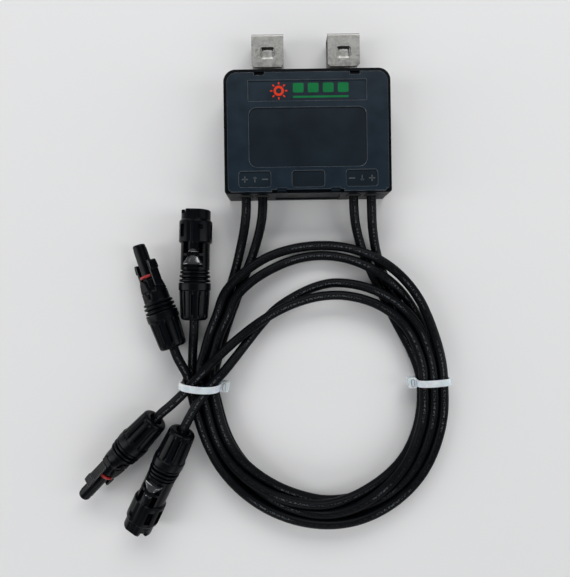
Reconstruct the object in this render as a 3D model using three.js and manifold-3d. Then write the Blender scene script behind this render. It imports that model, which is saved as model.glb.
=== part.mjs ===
// DC module optimizer for one solar panel: a flat plastic housing with two steel frame clips,
// four single-core leads wound into a tied coil, and a solar connector on the end of each lead.
//
// Millimetres, +Z up. The origin is the centre of the footprint of the housing and its clips.
// The housing lies on its back at z = 0, its clips point along +Y and its leads leave towards -Y.

import * as THREE from 'three';
import { mergeVertices } from 'three/addons/utils/BufferGeometryUtils.js';
import Module from 'manifold-3d';

const wasm = await Module();
wasm.setup();

// ---------------------------------------------------------------- driving dimensions

const GAP = 0.3; // running gap kept between neighbouring pieces

const BASE = { width: 102.5, bottom: -51.75, top: 24.45, height: 22.5, floor: 4.5, wall: 2, topWall: 3.25 };
const LEDGE = { z: 18, width: 2.2 }; // inner step that carries the gasket
const COVER = { width: 97.6, bottom: -51.3, top: 20.9, height: 26, skin: 2.2, skirtBottom: 20 };
const RECESS_DEPTH = 0.7;

const CLIP = { x: 24.2, width: 20.4, sheet: 1.2, back: 1.2, front: 13, mouth: 30.3, web: 51.75, legEnd: 6 };
const CLIP_BEND = 1.6; // outer radius of the two bends
const CLIP_SCREW = { spread: 5.2, y: 13, head: 3, headHeight: 0.8, shank: 1.3 };

const BOARD = { halfWidth: 44, bottom: -44, top: 16, z: 7.5, thickness: 1.6 };
const BOARD_SCREWS = [[-38, 10], [38, 10]];

const CABLE = { diameter: 6, sides: 8, exitZ: 12.5, wallY: BASE.bottom, innerEndY: -36, pitch: 6.3 };
const FLOOR_Z = CABLE.diameter / 2 + 0.2; // centre height of a cable that lies on the floor
const TIE_LIFT = 1.6; // the strap passes under the bundle and lifts it

const LATHE_SEGMENTS = 16;
const SMALL_SEGMENTS = 10;
const ARC_STEPS = 4; // straight steps in each rounded corner

// Connector pieces are turned about local +X, which runs from the nut's rear to the mating end.
const NUT = { length: 23.8, rearRadius: 8.5, frontRadius: 10.1, mouthRadius: 4.4, wall: 1.9 };
const CAGE = { start: 1.2, end: 9.6, inner: 3.5 };
const SEAL = { start: 10, end: 16.6, inner: 3.4, outer: 5.2 };
const CABLE_IN_CONNECTOR = 17.4;
const STUB = { start: 9.9, radius: 7.4, bore: 5.5 };
const FLANGE = { start: 24.2, end: 31, radius: 9.8 };
const BARREL = { length: 70, radius: 9.1, socket: 7.2, socketEnd: 42 };
const COLLAR = { radius: 10.4, start: 49, end: 63 };
const PROBE = { length: 69, shoulder: 39, bodyRadius: 8.2, radius: 4, bore: 3.2 };
const PROBE_ROOT = { radius: 6.2, end: 46 };
const CONTACT = { start: 17.8, crimp: 2.7, crimpEnd: 33, pin: 2, pinEnd: 58, sleeve: 2.8, sleeveEnd: 66 };
const FINGER = { root: 40.5, tip: 57.5, width: 6, inner: 6.5, outer: 8.7 };
const O_RING = { x: 48, radius: 5, section: 0.75 };

const CONNECTORS = {
  probe_upper: { kind: 'probe', rear: [-86.8, -146.9, 10.4], heading: 108.3, tilt: 0, roll: -42 },
  barrel_upper: { kind: 'barrel', rear: [-73.5, -129.5, 10.6], heading: 88.1, tilt: 0, roll: 0 },
  probe_lower: { kind: 'probe', rear: [-98, -191.7, 12.4], heading: 225.8, tilt: 2.7, roll: -60 },
  barrel_lower: { kind: 'barrel', rear: [-80.5, -198.6, 14.8], heading: 243.7, tilt: 3.6, roll: 15 },
};

// ---------------------------------------------------------------- materials

function surface(color, roughness, metalness = 0) {
  return new THREE.MeshStandardMaterial({ color, roughness, metalness });
}

const MATERIALS = {
  shell: surface(0x1b2026, 0.5),
  rubber: surface(0x141414, 0.8),
  steel: surface(0xb4b2ac, 0.35, 1),
  circuitBoard: surface(0x1f5a35, 0.6),
  component: surface(0x26262a, 0.5),
  ferrite: surface(0x3c3c3e, 0.7),
  aluminium: surface(0xb9bcc0, 0.4, 1),
  brass: surface(0xb08d45, 0.35, 1),
  pad: surface(0x8fa2b4, 0.9),
  jacket: surface(0x101214, 0.55),
  connector: surface(0x14171a, 0.45),
  nylon: surface(0xdfe3e6, 0.45),
  redSeal: surface(0xa82c20, 0.6),
};

const device = new THREE.Group();

// ---------------------------------------------------------------- geometry helpers

function toSolid(geometry) {
  const bare = geometry.index ? geometry.toNonIndexed() : geometry.clone();
  bare.deleteAttribute('normal');
  bare.deleteAttribute('uv');
  const merged = mergeVertices(bare, 1e-4);
  const mesh = new wasm.Mesh({
    numProp: 3,
    vertProperties: new Float32Array(merged.attributes.position.array),
    triVerts: new Uint32Array(merged.index.array),
  });
  return new wasm.Manifold(mesh);
}

function toGeometry(solid) {
  const mesh = solid.getMesh();
  const geometry = new THREE.BufferGeometry();
  geometry.setAttribute('position', new THREE.BufferAttribute(new Float32Array(mesh.vertProperties), 3));
  geometry.setIndex(new THREE.BufferAttribute(new Uint32Array(mesh.triVerts), 1));
  geometry.computeVertexNormals();
  return geometry;
}

// Adds the geometries in `add` to the first one and cuts those in `cut` away.
function carve(first, add = [], cut = []) {
  let solid = toSolid(first);
  for (const geometry of add) {
    solid = solid.add(toSolid(geometry));
  }
  for (const geometry of cut) {
    solid = solid.subtract(toSolid(geometry));
  }
  return toGeometry(solid);
}

// A block between two opposite corners, given in either order.
function box([x0, y0, z0], [x1, y1, z1]) {
  const geometry = new THREE.BoxGeometry(Math.abs(x1 - x0), Math.abs(y1 - y0), Math.abs(z1 - z0));
  return geometry.translate((x0 + x1) / 2, (y0 + y1) / 2, (z0 + z1) / 2);
}

// A flat slab from z0 to z1 whose +Y corners have radius rTop and whose -Y corners have rBottom.
function slab([x0, y0, z0], [x1, y1, z1], rTop, rBottom = rTop) {
  const shape = new THREE.Shape();
  shape.moveTo(x0 + rBottom, y0);
  shape.lineTo(x1 - rBottom, y0);
  shape.absarc(x1 - rBottom, y0 + rBottom, rBottom, -Math.PI / 2, 0);
  shape.lineTo(x1, y1 - rTop);
  shape.absarc(x1 - rTop, y1 - rTop, rTop, 0, Math.PI / 2);
  shape.lineTo(x0 + rTop, y1);
  shape.absarc(x0 + rTop, y1 - rTop, rTop, Math.PI / 2, Math.PI);
  shape.lineTo(x0, y0 + rBottom);
  shape.absarc(x0 + rBottom, y0 + rBottom, rBottom, Math.PI, Math.PI * 1.5);
  const options = { depth: z1 - z0, bevelEnabled: false, curveSegments: ARC_STEPS / 2 };
  const geometry = new THREE.ExtrudeGeometry(shape, options);
  return geometry.translate(0, 0, z0);
}

// Turns a closed [radius, height] profile, which runs up outside and down inside, about +Z.
function turnedZ(profile, segments = LATHE_SEGMENTS) {
  const points = profile.map(([radius, height]) => new THREE.Vector2(radius, height));
  return new THREE.LatheGeometry(points, segments).rotateX(Math.PI / 2);
}

function turnedX(profile, segments = LATHE_SEGMENTS) {
  return turnedZ(profile, segments).rotateY(Math.PI / 2);
}

function ringProfile(inner, outer, low, high) {
  return [[inner, low], [outer, low], [outer, high], [inner, high], [inner, low]];
}

function discProfile(radius, low, high) {
  return [[0, low], [radius, low], [radius, high], [0, high]];
}

function place(parent, name, geometry, material, position = [0, 0, 0]) {
  const mesh = new THREE.Mesh(geometry, MATERIALS[material]);
  mesh.name = name;
  mesh.position.set(...position);
  parent.add(mesh);
  return mesh;
}

// ---------------------------------------------------------------- housing

const CABLE_EXITS = { in_positive: -39, in_negative: -28.5, out_negative: 29.2, out_positive: 40.5 };
const GROMMET = { bore: 3.4, neck: 4.6, flange: 5, outer: BASE.bottom + 0.2, inner: -47.4 };
const SNAP = { low: -43, high: -33, z0: 20.3, z1: 22, depth: 1.4 };

function baseShell() {
  const half = BASE.width / 2;
  const inner = half - BASE.wall;
  const bottom = BASE.bottom + BASE.wall;
  const top = BASE.top - BASE.topWall;
  const step = LEDGE.width;
  const outside = slab([-half, BASE.bottom, 0], [half, BASE.top, BASE.height], 7, 1.2);
  const mouth = slab([-inner, bottom, LEDGE.z], [inner, top, BASE.height + 1], 4.5, 1);
  const cavityLow = [-inner + step, bottom + step, BASE.floor];
  const cavityHigh = [inner - step, top - step, LEDGE.z + 1];
  const cavity = slab(cavityLow, cavityHigh, 3, 1);
  const cuts = [mouth, cavity];
  for (const side of [-1, 1]) {
    const x = side * CLIP.x;
    const reach = CLIP.width / 2 + GAP;
    const depth = CLIP.back + CLIP.sheet + GAP;
    cuts.push(box([x - reach, CLIP.legEnd - GAP, -1], [x + reach, BASE.top + 1, depth]));
    for (const spread of [-CLIP_SCREW.spread, CLIP_SCREW.spread]) {
      const bore = discProfile(CLIP_SCREW.shank + GAP, depth - 1, BASE.floor - 0.5);
      cuts.push(turnedZ(bore, SMALL_SEGMENTS).translate(x + spread, CLIP_SCREW.y, 0));
    }
    cuts.push(box([side * (inner - 1), SNAP.low, SNAP.z0], [side * (half + 1), SNAP.high, SNAP.z1]));
  }
  for (const x of Object.values(CABLE_EXITS)) {
    const hole = turnedZ(discProfile(GROMMET.neck + GAP, -2, BASE.wall + step + 2), SMALL_SEGMENTS + 2);
    cuts.push(hole.rotateX(-Math.PI / 2).translate(x, BASE.bottom, CABLE.exitZ));
  }
  const posts = BOARD_SCREWS.map(([x, y]) => {
    return turnedZ(ringProfile(1.7, 3.4, BASE.floor - 1, BOARD.z - GAP), SMALL_SEGMENTS).translate(x, y, 0);
  });
  return carve(carve(outside, [], cuts), posts);
}

// Shallow panels sunk into the cover: [x0, y0, x1, y1, corner radius].
const COVER_PANELS = [
  [-36, 3.4, 36, 16.2, 0.4],
  [-35.8, -36.6, 35.8, -0.3, 5],
  [-42.2, -48.7, -22.7, -38.8, 1.2],
  [-9.9, -48.8, 9.9, -38.7, 1.2],
  [22.9, -48.8, 42.1, -38.5, 1.2],
];

function frontCover() {
  const half = COVER.width / 2;
  const seat = BASE.height + GAP;
  const plugHalf = BASE.width / 2 - BASE.wall - GAP;
  const plugBottom = BASE.bottom + BASE.wall + GAP;
  const skirt = LEDGE.width;
  const plate = slab([-half, COVER.bottom, seat], [half, COVER.top, COVER.height], 5, 1.2);
  const plug = slab([-plugHalf, plugBottom, COVER.skirtBottom], [plugHalf, COVER.top, seat + 0.5], 4.2, 1);
  const hollow = slab(
    [-plugHalf + skirt, plugBottom + skirt, COVER.skirtBottom - 1],
    [plugHalf - skirt, COVER.top - skirt, COVER.height - COVER.skin],
    3,
    1
  );
  const nubs = [-1, 1].map((side) => {
    const low = [side * (plugHalf - 0.5), SNAP.low + GAP, SNAP.z0 + GAP];
    const high = [side * (plugHalf + SNAP.depth), SNAP.high - GAP, SNAP.z1 - GAP];
    return box(low, high);
  });
  const panels = COVER_PANELS.map(([x0, y0, x1, y1, r]) => {
    return slab([x0, y0, COVER.height - RECESS_DEPTH], [x1, y1, COVER.height + 1], r);
  });
  return carve(plate, [plug, ...nubs], [hollow, ...panels]);
}

function coverGasket() {
  const half = BASE.width / 2 - BASE.wall - 2 * GAP;
  const bottom = BASE.bottom + BASE.wall + 2 * GAP;
  const top = BASE.top - BASE.topWall - 2 * GAP;
  const z0 = LEDGE.z + GAP;
  const z1 = COVER.skirtBottom - GAP;
  const width = 1.5;
  const outside = slab([-half, bottom, z0], [half, top, z1], 4, 0.8);
  const insideLow = [-half + width, bottom + width, z0 - 1];
  const insideHigh = [half - width, top - width, z1 + 1];
  const inside = slab(insideLow, insideHigh, 2.5, 0.4);
  return carve(outside, [], [inside]);
}

function grommet(x) {
  const profile = [
    [GROMMET.bore, GROMMET.outer],
    [GROMMET.neck, GROMMET.outer],
    [GROMMET.neck, GROMMET.inner],
    [GROMMET.flange, GROMMET.inner],
    [GROMMET.flange, GROMMET.inner + 1.6],
    [GROMMET.bore, GROMMET.inner + 1.6],
    [GROMMET.bore, GROMMET.outer],
  ];
  return turnedZ(profile, SMALL_SEGMENTS + 2).rotateX(-Math.PI / 2).translate(x, 0, CABLE.exitZ);
}

// ---------------------------------------------------------------- frame clips

// The clip's side view, in its Y-Z plane: rear leg, web and front leg of one bent sheet.
function clipOutline() {
  const { sheet, back, front, mouth, web, legEnd } = CLIP;
  const r = CLIP_BEND;
  const inner = r - sheet;
  const shape = new THREE.Shape();
  shape.moveTo(legEnd, back);
  shape.lineTo(web - r, back);
  shape.absarc(web - r, back + r, r, -Math.PI / 2, 0);
  shape.lineTo(web, front - r);
  shape.absarc(web - r, front - r, r, 0, Math.PI / 2);
  shape.lineTo(mouth, front);
  shape.lineTo(mouth, front - sheet);
  shape.lineTo(web - r, front - sheet);
  shape.absarc(web - r, front - r, inner, Math.PI / 2, 0, true);
  shape.lineTo(web - sheet, back + r);
  shape.absarc(web - r, back + r, inner, 0, -Math.PI / 2, true);
  shape.lineTo(legEnd, back + sheet);
  return shape;
}

const CLIP_WINDOW = { half: 4.4, low: 35.6, high: 43 };

function frameClip() {
  const options = { depth: CLIP.width, bevelEnabled: false, curveSegments: ARC_STEPS / 2 };
  const strip = new THREE.ExtrudeGeometry(clipOutline(), options);
  // Shape X becomes +Y and shape Y becomes +Z, with the sheet's width along X.
  strip.rotateX(Math.PI / 2).rotateZ(Math.PI / 2).translate(-CLIP.width / 2, 0, 0);
  const plateLow = CLIP.front - CLIP.sheet;
  const { half, low, high } = CLIP_WINDOW;
  const window = box([-half, low, plateLow - 1], [half, high, CLIP.front + 1]);
  const tongue = new THREE.BoxGeometry(2 * half - 2.4, high - low, 0.9);
  tongue.rotateX(-0.3).translate(0, (low + high) / 2 - 1, CLIP.front - 1.6);
  const holes = [-CLIP_SCREW.spread, CLIP_SCREW.spread].map((x) => {
    return turnedZ(discProfile(CLIP_SCREW.shank + GAP, 0, 4), SMALL_SEGMENTS).translate(x, CLIP_SCREW.y, 0);
  });
  return carve(carve(strip, [], [window, ...holes]), [tongue]);
}

function clipScrew() {
  const { head, headHeight, shank } = CLIP_SCREW;
  const low = 0.1;
  const profile = [[0, low], [head, low], [head, low + headHeight], [shank, low + headHeight]];
  return turnedZ([...profile, [shank, BASE.floor - 1], [0, BASE.floor - 1]], SMALL_SEGMENTS);
}

// ---------------------------------------------------------------- electronics

const BOARD_TOP = BOARD.z + BOARD.thickness;
const SEAT = BOARD_TOP + GAP;

function circuitBoard() {
  const { halfWidth, bottom, top, z, thickness } = BOARD;
  const holes = BOARD_SCREWS.map(([x, y]) => {
    return turnedZ(discProfile(1.7, z - 1, z + thickness + 1), SMALL_SEGMENTS).translate(x, y, 0);
  });
  return carve(box([-halfWidth, bottom, z], [halfWidth, top, z + thickness]), [], holes);
}

function boardScrew() {
  const low = BASE.floor + GAP;
  const profile = [[0, low], [1.3, low], [1.3, SEAT], [3, SEAT], [3, SEAT + 1.8], [0, SEAT + 1.8]];
  return turnedZ(profile, SMALL_SEGMENTS);
}

function addElectronics() {
  place(device, 'circuit_board', circuitBoard(), 'circuitBoard');
  BOARD_SCREWS.forEach(([x, y], index) => {
    place(device, `board_screw_${index + 1}`, boardScrew(), 'steel', [x, y, 0]);
  });
  place(device, 'thermal_pad', box([-16, -12, BASE.floor + GAP], [8, 14, BOARD.z - GAP]), 'pad');
  place(device, 'power_inductor', turnedZ(ringProfile(4.5, 11, 0, 9)), 'ferrite', [-26, -4, SEAT]);
  const canProfile = discProfile(6, 0, 10.5);
  place(device, 'input_capacitor', turnedZ(canProfile, SMALL_SEGMENTS + 2), 'aluminium', [-2, -24, SEAT]);
  place(device, 'output_capacitor', turnedZ(canProfile, SMALL_SEGMENTS + 2), 'aluminium', [26, -4, SEAT]);
  place(device, 'switch_transistor_1', box([-11, 2, SEAT], [-1, 12, SEAT + 3]), 'component');
  place(device, 'switch_transistor_2', box([-11, -11, SEAT], [-1, -1, SEAT + 3]), 'component');
  place(device, 'controller_chip', box([5, -4, SEAT], [12, 3, SEAT + 1.3]), 'component');
  Object.values(CABLE_EXITS).forEach((x, index) => {
    const low = [x - 3.8, CABLE.innerEndY + GAP, SEAT];
    const high = [x + 3.8, CABLE.innerEndY + 10, CABLE.exitZ + 3.2];
    place(device, `wire_terminal_${index + 1}`, box(low, high), 'brass');
  });
}

function addHousing() {
  place(device, 'base_shell', baseShell(), 'shell');
  place(device, 'front_cover', frontCover(), 'shell');
  place(device, 'cover_gasket', coverGasket(), 'rubber');
  for (const [name, side] of [['left', -1], ['right', 1]]) {
    place(device, `frame_clip_${name}`, frameClip(), 'steel', [side * CLIP.x, 0, 0]);
    [-1, 1].forEach((end, index) => {
      const x = side * CLIP.x + end * CLIP_SCREW.spread;
      place(device, `clip_screw_${name}_${index + 1}`, clipScrew(), 'steel', [x, CLIP_SCREW.y, 0]);
    });
  }
  Object.values(CABLE_EXITS).forEach((x, index) => {
    place(device, `cable_grommet_${index + 1}`, grommet(x), 'rubber');
  });
}

// ---------------------------------------------------------------- connectors

function glandNut() {
  const { length, rearRadius, frontRadius, mouthRadius, wall } = NUT;
  const collar = 5; // plain front band ahead of the tapered grip
  const bore = FLANGE.start - STUB.start;
  return turnedX([
    [mouthRadius, 0],
    [rearRadius - 1, 0],
    [rearRadius, 1.2],
    [frontRadius - 0.6, length - collar],
    [frontRadius, length - collar + 0.6],
    [frontRadius, length],
    [STUB.radius + GAP, length],
    [STUB.radius + GAP, length - bore],
    [rearRadius - wall - 0.6, CAGE.start + 1.6],
    [mouthRadius, wall - 1.1],
    [mouthRadius, 0],
  ]);
}

function clampCage() {
  const outer = NUT.rearRadius - NUT.wall - 0.6 - GAP;
  return turnedX([
    [CAGE.inner, CAGE.start + 0.6],
    [NUT.mouthRadius + 0.1, CAGE.start + 0.9],
    [outer, CAGE.start + 2.6],
    [outer, CAGE.end],
    [CAGE.inner, CAGE.end],
    [CAGE.inner, CAGE.start + 0.6],
  ]);
}

function cableSeal() {
  return turnedX(ringProfile(SEAL.inner, SEAL.outer, SEAL.start + GAP, SEAL.end), SMALL_SEGMENTS + 2);
}

// The rear of both housings: a threaded stub for the nut and a ribbed flange in front of it.
function rearProfile(boreStep) {
  const { start, radius } = STUB;
  const groove = FLANGE.radius - 1.4;
  return [
    [STUB.bore, start],
    [radius, start],
    [radius, FLANGE.start],
    [FLANGE.radius, FLANGE.start],
    [FLANGE.radius, FLANGE.start + 2],
    [groove, FLANGE.start + 2],
    [groove, FLANGE.start + 4],
    [FLANGE.radius, FLANGE.start + 4],
    [FLANGE.radius, FLANGE.end],
    [boreStep, FLANGE.end],
  ];
}

function barrelHousing() {
  const { length, radius, socket, socketEnd } = BARREL;
  const neck = CONTACT.crimp + GAP + 0.2;
  return turnedX([
    ...rearProfile(radius),
    [radius, COLLAR.start],
    [COLLAR.radius, COLLAR.start + 0.8],
    [COLLAR.radius, COLLAR.end],
    [radius + 0.1, COLLAR.end + 0.8],
    [radius + 0.1, length],
    [socket, length],
    [socket, socketEnd],
    [CONTACT.pin + GAP, socketEnd],
    [CONTACT.pin + GAP, CONTACT.crimpEnd + GAP],
    [neck, CONTACT.crimpEnd + GAP],
    [neck, SEAL.end + GAP],
    [STUB.bore, SEAL.end + GAP],
    [STUB.bore, STUB.start],
  ]);
}

function probeHousing() {
  const { length, shoulder, bodyRadius, radius, bore } = PROBE;
  return turnedX([
    ...rearProfile(bodyRadius),
    [bodyRadius, shoulder - 2],
    [PROBE_ROOT.radius, shoulder],
    [PROBE_ROOT.radius, PROBE_ROOT.end],
    [radius, PROBE_ROOT.end],
    [radius, length - 0.8],
    [radius - 0.5, length],
    [bore, length],
    [bore, SEAL.end + GAP],
    [STUB.bore, SEAL.end + GAP],
    [STUB.bore, STUB.start],
  ]);
}

function pinContact() {
  const { start, crimp, crimpEnd, pin, pinEnd } = CONTACT;
  const shank = [[0, start], [crimp, start], [crimp, crimpEnd], [pin, crimpEnd]];
  const point = [[pin, pinEnd - 1.5], [0.8, pinEnd], [0, pinEnd]];
  return turnedX([...shank, ...point], SMALL_SEGMENTS);
}

function socketContact() {
  const { start, sleeve, sleeveEnd, pin } = CONTACT;
  const bore = pin + 0.1;
  const boreEnd = sleeveEnd - 20;
  const outside = [[0, start], [sleeve, start], [sleeve, sleeveEnd]];
  const inside = [[bore, sleeveEnd], [bore, boreEnd], [0, boreEnd]];
  return turnedX([...outside, ...inside], SMALL_SEGMENTS);
}

// One sprung latch finger on the +Y side: a flat arm with a barbed head.
function latchFinger() {
  const { root, tip, width, inner, outer } = FINGER;
  const shape = new THREE.Shape();
  shape.moveTo(root, inner + 0.2);
  shape.lineTo(tip - 1.2, inner + 0.2);
  shape.lineTo(tip, inner + 1);
  shape.lineTo(tip - 5.5, outer + 0.6);
  shape.lineTo(tip - 6, outer - 0.4);
  shape.lineTo(root, outer - 0.4);
  const geometry = new THREE.ExtrudeGeometry(shape, { depth: width, bevelEnabled: false });
  return geometry.translate(0, 0, -width / 2);
}

function sealRing() {
  const { x, radius, section } = O_RING;
  const steps = 6;
  const profile = [];
  for (let step = 0; step <= steps; step += 1) {
    const angle = (step % steps) * (2 * Math.PI / steps);
    profile.push([radius + section * Math.cos(angle), x + section * Math.sin(angle)]);
  }
  return turnedX(profile, SMALL_SEGMENTS + 2);
}

function addConnector(name, { kind, rear, heading, tilt, roll }) {
  const [x, y, z] = [roll, tilt, heading].map(THREE.MathUtils.degToRad);
  const group = new THREE.Group();
  group.position.set(...rear);
  group.rotation.set(x, y, z, 'ZYX');
  device.add(group);
  place(group, `${name}_gland_nut`, glandNut(), 'connector');
  place(group, `${name}_clamp_cage`, clampCage(), 'connector');
  place(group, `${name}_cable_seal`, cableSeal(), 'rubber');
  if (kind === 'barrel') {
    place(group, `${name}_housing`, barrelHousing(), 'connector');
    place(group, `${name}_pin_contact`, pinContact(), 'brass');
    return;
  }
  place(group, `${name}_housing`, probeHousing(), 'connector');
  place(group, `${name}_socket_contact`, socketContact(), 'brass');
  place(group, `${name}_o_ring`, sealRing(), 'redSeal');
  place(group, `${name}_latch_left`, latchFinger(), 'connector');
  place(group, `${name}_latch_right`, latchFinger().rotateX(Math.PI), 'connector');
}

// ---------------------------------------------------------------- cable coil

// Middle line of the six-strand bundle, from the left tie round the bottom to the right tie.
const LOOP_SPINE = [
  [-70.5, -170.5], [-66.8, -187], [-60.8, -206], [-53, -221], [-42, -233.8], [-27, -245],
  [-10, -252.3], [8, -255.4], [25, -254], [40, -248.6], [54.5, -239], [66, -226.5],
  [74, -211], [78.6, -192], [78.8, -171],
];

const smooth = (value) => THREE.MathUtils.smoothstep(value, 0, 1);

// Stations of the bundle: a point, the outward normal and the share of the way round.
function loopStations() {
  const last = LOOP_SPINE.length - 1;
  return LOOP_SPINE.map(([x, y], index) => {
    const [ax, ay] = LOOP_SPINE[Math.max(index - 1, 0)];
    const [bx, by] = LOOP_SPINE[Math.min(index + 1, last)];
    const length = Math.hypot(bx - ax, by - ay);
    return { x, y, normal: [(by - ay) / length, -(bx - ax) / length], share: index / last };
  });
}

function tieLift(share) {
  const fromTie = Math.min(share, 1 - share);
  return TIE_LIFT * (1 - smooth(fromTie / 0.14));
}

// Two strands stay stacked on the outer side of the bundle.
function outerLane(level) {
  return loopStations().map(({ x, y, normal, share }) => {
    const offset = CABLE.pitch;
    const z = FLOOR_Z + tieLift(share) + level * CABLE.pitch;
    return [x + normal[0] * offset, y + normal[1] * offset, z];
  });
}

// Four strands form a square that makes half a turn about its middle on the way round.
function twistedLane(startAngle) {
  const radius = CABLE.pitch / Math.SQRT2;
  return loopStations().map(({ x, y, normal, share }) => {
    const turn = Math.PI * smooth((share - 0.1) / 0.8);
    const spread = Math.abs(Math.sin(2 * turn));
    const slack = 1.5 * (1 - smooth(share / 0.14));
    const angle = startAngle + turn;
    const offset = -CABLE.pitch / 2 - 1.3 * spread - slack + radius * Math.cos(angle);
    const middle = FLOOR_Z + CABLE.pitch / 2 + 1.35 * spread + tieLift(share);
    return [x + normal[0] * offset, y + normal[1] * offset, middle + radius * Math.sin(angle)];
  });
}

const QUARTER = Math.PI / 4;

// Free stretches of the leads, as [x, y, z] points from the housing or from a tie.
const IN_POSITIVE_DROP = [
  [-39.1, -60, 12.3], [-40.2, -69, 10.4], [-42.2, -78, 7.4], [-44.6, -87, 4.6], [-47, -96, 3.3],
  [-50.3, -106.7, 3.2], [-55, -119, 3.2], [-60.2, -132, 3.2], [-64.9, -146, 3.3], [-67.8, -158.5, 4],
];
const IN_NEGATIVE_DROP = [
  [-28.7, -60, 12.3], [-30, -69, 10.4], [-32.5, -78, 7.4], [-35.6, -87, 4.6], [-39.1, -96, 3.3],
  [-43.4, -107, 3.2], [-48.1, -119.5, 3.2], [-52.8, -132, 3.2], [-57.1, -145.5, 3.3], [-60.6, -158.5, 4],
];
const OUT_NEGATIVE_DROP = [
  [29.4, -60, 12.2], [30.5, -69, 10], [32.9, -78, 6.9], [36, -87, 4.4], [40.2, -97, 3.2],
  [45.2, -108, 3.2], [50.7, -119.5, 3.2], [56.4, -131.5, 3.2], [61.9, -142, 3.2], [66.8, -152, 3.6],
  [70.4, -161.5, 4.2],
];
const OUT_POSITIVE_DROP = [
  [40.6, -60, 12.2], [41.2, -69, 10.2], [42.6, -78, 7.2], [44.6, -87, 4.7], [47.3, -96, 3.4],
  [51, -105.5, 3.2], [56, -115.5, 3.2], [61.6, -126, 3.2], [67.4, -137, 3.2], [72.8, -148.5, 3.3],
  [76.8, -160.3, 4],
];
const OUTER_ARCH = [
  [-69.8, -160, 10.6], [-67, -149.5, 10.1], [-63.7, -138, 9.9], [-59.1, -126.5, 9.8], [-53.6, -112.3, 9.7],
  [-42.3, -100.3, 9.7], [-26, -89.8, 8.2], [-8, -84, 5.2], [9, -82.4, 4.2], [24, -84, 6.4],
  [36, -88, 9.6], [46, -93, 10.8], [55.5, -100, 11.4], [64, -109, 11.6], [70.5, -118.5, 11.4],
  [75.3, -128.5, 11.1], [79, -138.5, 10.9], [82.2, -149, 10.8], [84.4, -160, 10.9],
];
const SECOND_ARCH = [
  [-63.4, -160, 10.6], [-60.5, -149.5, 10.1], [-57.2, -138.5, 9.9], [-52.1, -127.5, 9.8],
  [-47.3, -116.2, 9.7],
  [-37.5, -106.2, 9.7], [-23, -97.2, 8.2], [-7, -91, 5.2], [8.5, -89, 4.2], [23, -90.8, 6.2],
  [34, -94.8, 9.4], [42.7, -99.4, 10.3], [50.5, -104.9, 9.6], [58, -111.2, 7.2], [64.4, -118.3, 4.6],
  [70, -127, 3.4], [75.1, -137.5, 3.2], [79.7, -149, 3.3], [83.2, -160.3, 4],
];
const INNER_ARCH_TO_PROBE = [
  [72.0, -160.5, 10.4], [69.2, -150.5, 9.9], [65.2, -141.3, 9.7], [59.2, -132.6, 9.7], [51.5, -125.7, 9.7],
  [42.6, -120.6, 9.7], [32.5, -117, 9.3], [20.5, -115, 8.8], [7, -115.6, 8.7], [-8, -119.4, 9.1],
  [-22, -125.6, 9.7], [-34, -133, 10.2], [-45, -141.3, 11.8], [-53.5, -148.5, 14.6], [-60.5, -155, 16.8],
  [-67, -161.7, 17.5], [-73, -168, 17.6], [-79, -174.3, 17.3], [-85, -180, 15.6], [-90, -184.4, 13.9],
];
const INNER_ARCH_TO_BARREL = [
  [78.1, -160.5, 10.4], [75.5, -149.8, 9.9], [71.6, -138.8, 9.7], [65.2, -129, 9.7], [57.1, -121, 9.7],
  [48.2, -115, 9.7], [38, -110.4, 8.8], [27, -107.7, 6.4], [15.5, -107, 4.2], [4.5, -109.4, 3.3],
  [-8.5, -115.2, 3.3], [-21.5, -123.6, 3.3], [-31.5, -134, 4], [-40.5, -145, 7.8], [-48.5, -155, 12.6],
  [-55.5, -163.2, 16.2], [-62, -169.5, 17.6], [-66.2, -175.3, 17.9], [-70.8, -181.3, 17.4],
  [-74.5, -187.3, 16.3],
];
const UPPER_PROBE_END = [[-78.6, -164.2, 10.9], [-82, -158, 10.6]];
const UPPER_BARREL_END = [[-76.4, -162.5, 4.9], [-75.7, -154.5, 6.5], [-75, -147.5, 8.4], [-74.2, -141, 9.8]];

// Points on a connector's axis, from behind its nut to the cable's end at the contact.
function connectorRun(name) {
  const { rear, heading, tilt } = CONNECTORS[name];
  const yaw = THREE.MathUtils.degToRad(heading);
  const pitch = THREE.MathUtils.degToRad(tilt);
  const along = [Math.cos(yaw) * Math.cos(pitch), Math.sin(yaw) * Math.cos(pitch), -Math.sin(pitch)];
  return [-5.5, 2, 9.5, CABLE_IN_CONNECTOR].map((distance) => {
    return rear.map((value, i) => value + along[i] * distance);
  });
}

function housingRun(x) {
  return [CABLE.innerEndY, -44, CABLE.wallY].map((y) => [x, y, CABLE.exitZ]);
}

const LEADS = {
  lead_in_positive: [
    ...housingRun(CABLE_EXITS.in_positive),
    ...IN_POSITIVE_DROP,
    ...twistedLane(-QUARTER),
    ...INNER_ARCH_TO_PROBE,
    ...connectorRun('probe_lower'),
  ],
  lead_in_negative: [
    ...housingRun(CABLE_EXITS.in_negative),
    ...IN_NEGATIVE_DROP,
    ...twistedLane(-3 * QUARTER),
    ...INNER_ARCH_TO_BARREL,
    ...connectorRun('barrel_lower'),
  ],
  lead_out_negative: [
    ...housingRun(CABLE_EXITS.out_negative),
    ...OUT_NEGATIVE_DROP,
    ...twistedLane(QUARTER).reverse(),
    ...OUTER_ARCH,
    ...outerLane(1).reverse(),
    ...UPPER_PROBE_END,
    ...connectorRun('probe_upper'),
  ],
  lead_out_positive: [
    ...housingRun(CABLE_EXITS.out_positive),
    ...OUT_POSITIVE_DROP,
    ...twistedLane(3 * QUARTER).reverse(),
    ...SECOND_ARCH,
    ...outerLane(0).reverse(),
    ...UPPER_BARREL_END,
    ...connectorRun('barrel_upper'),
  ],
};

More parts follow.
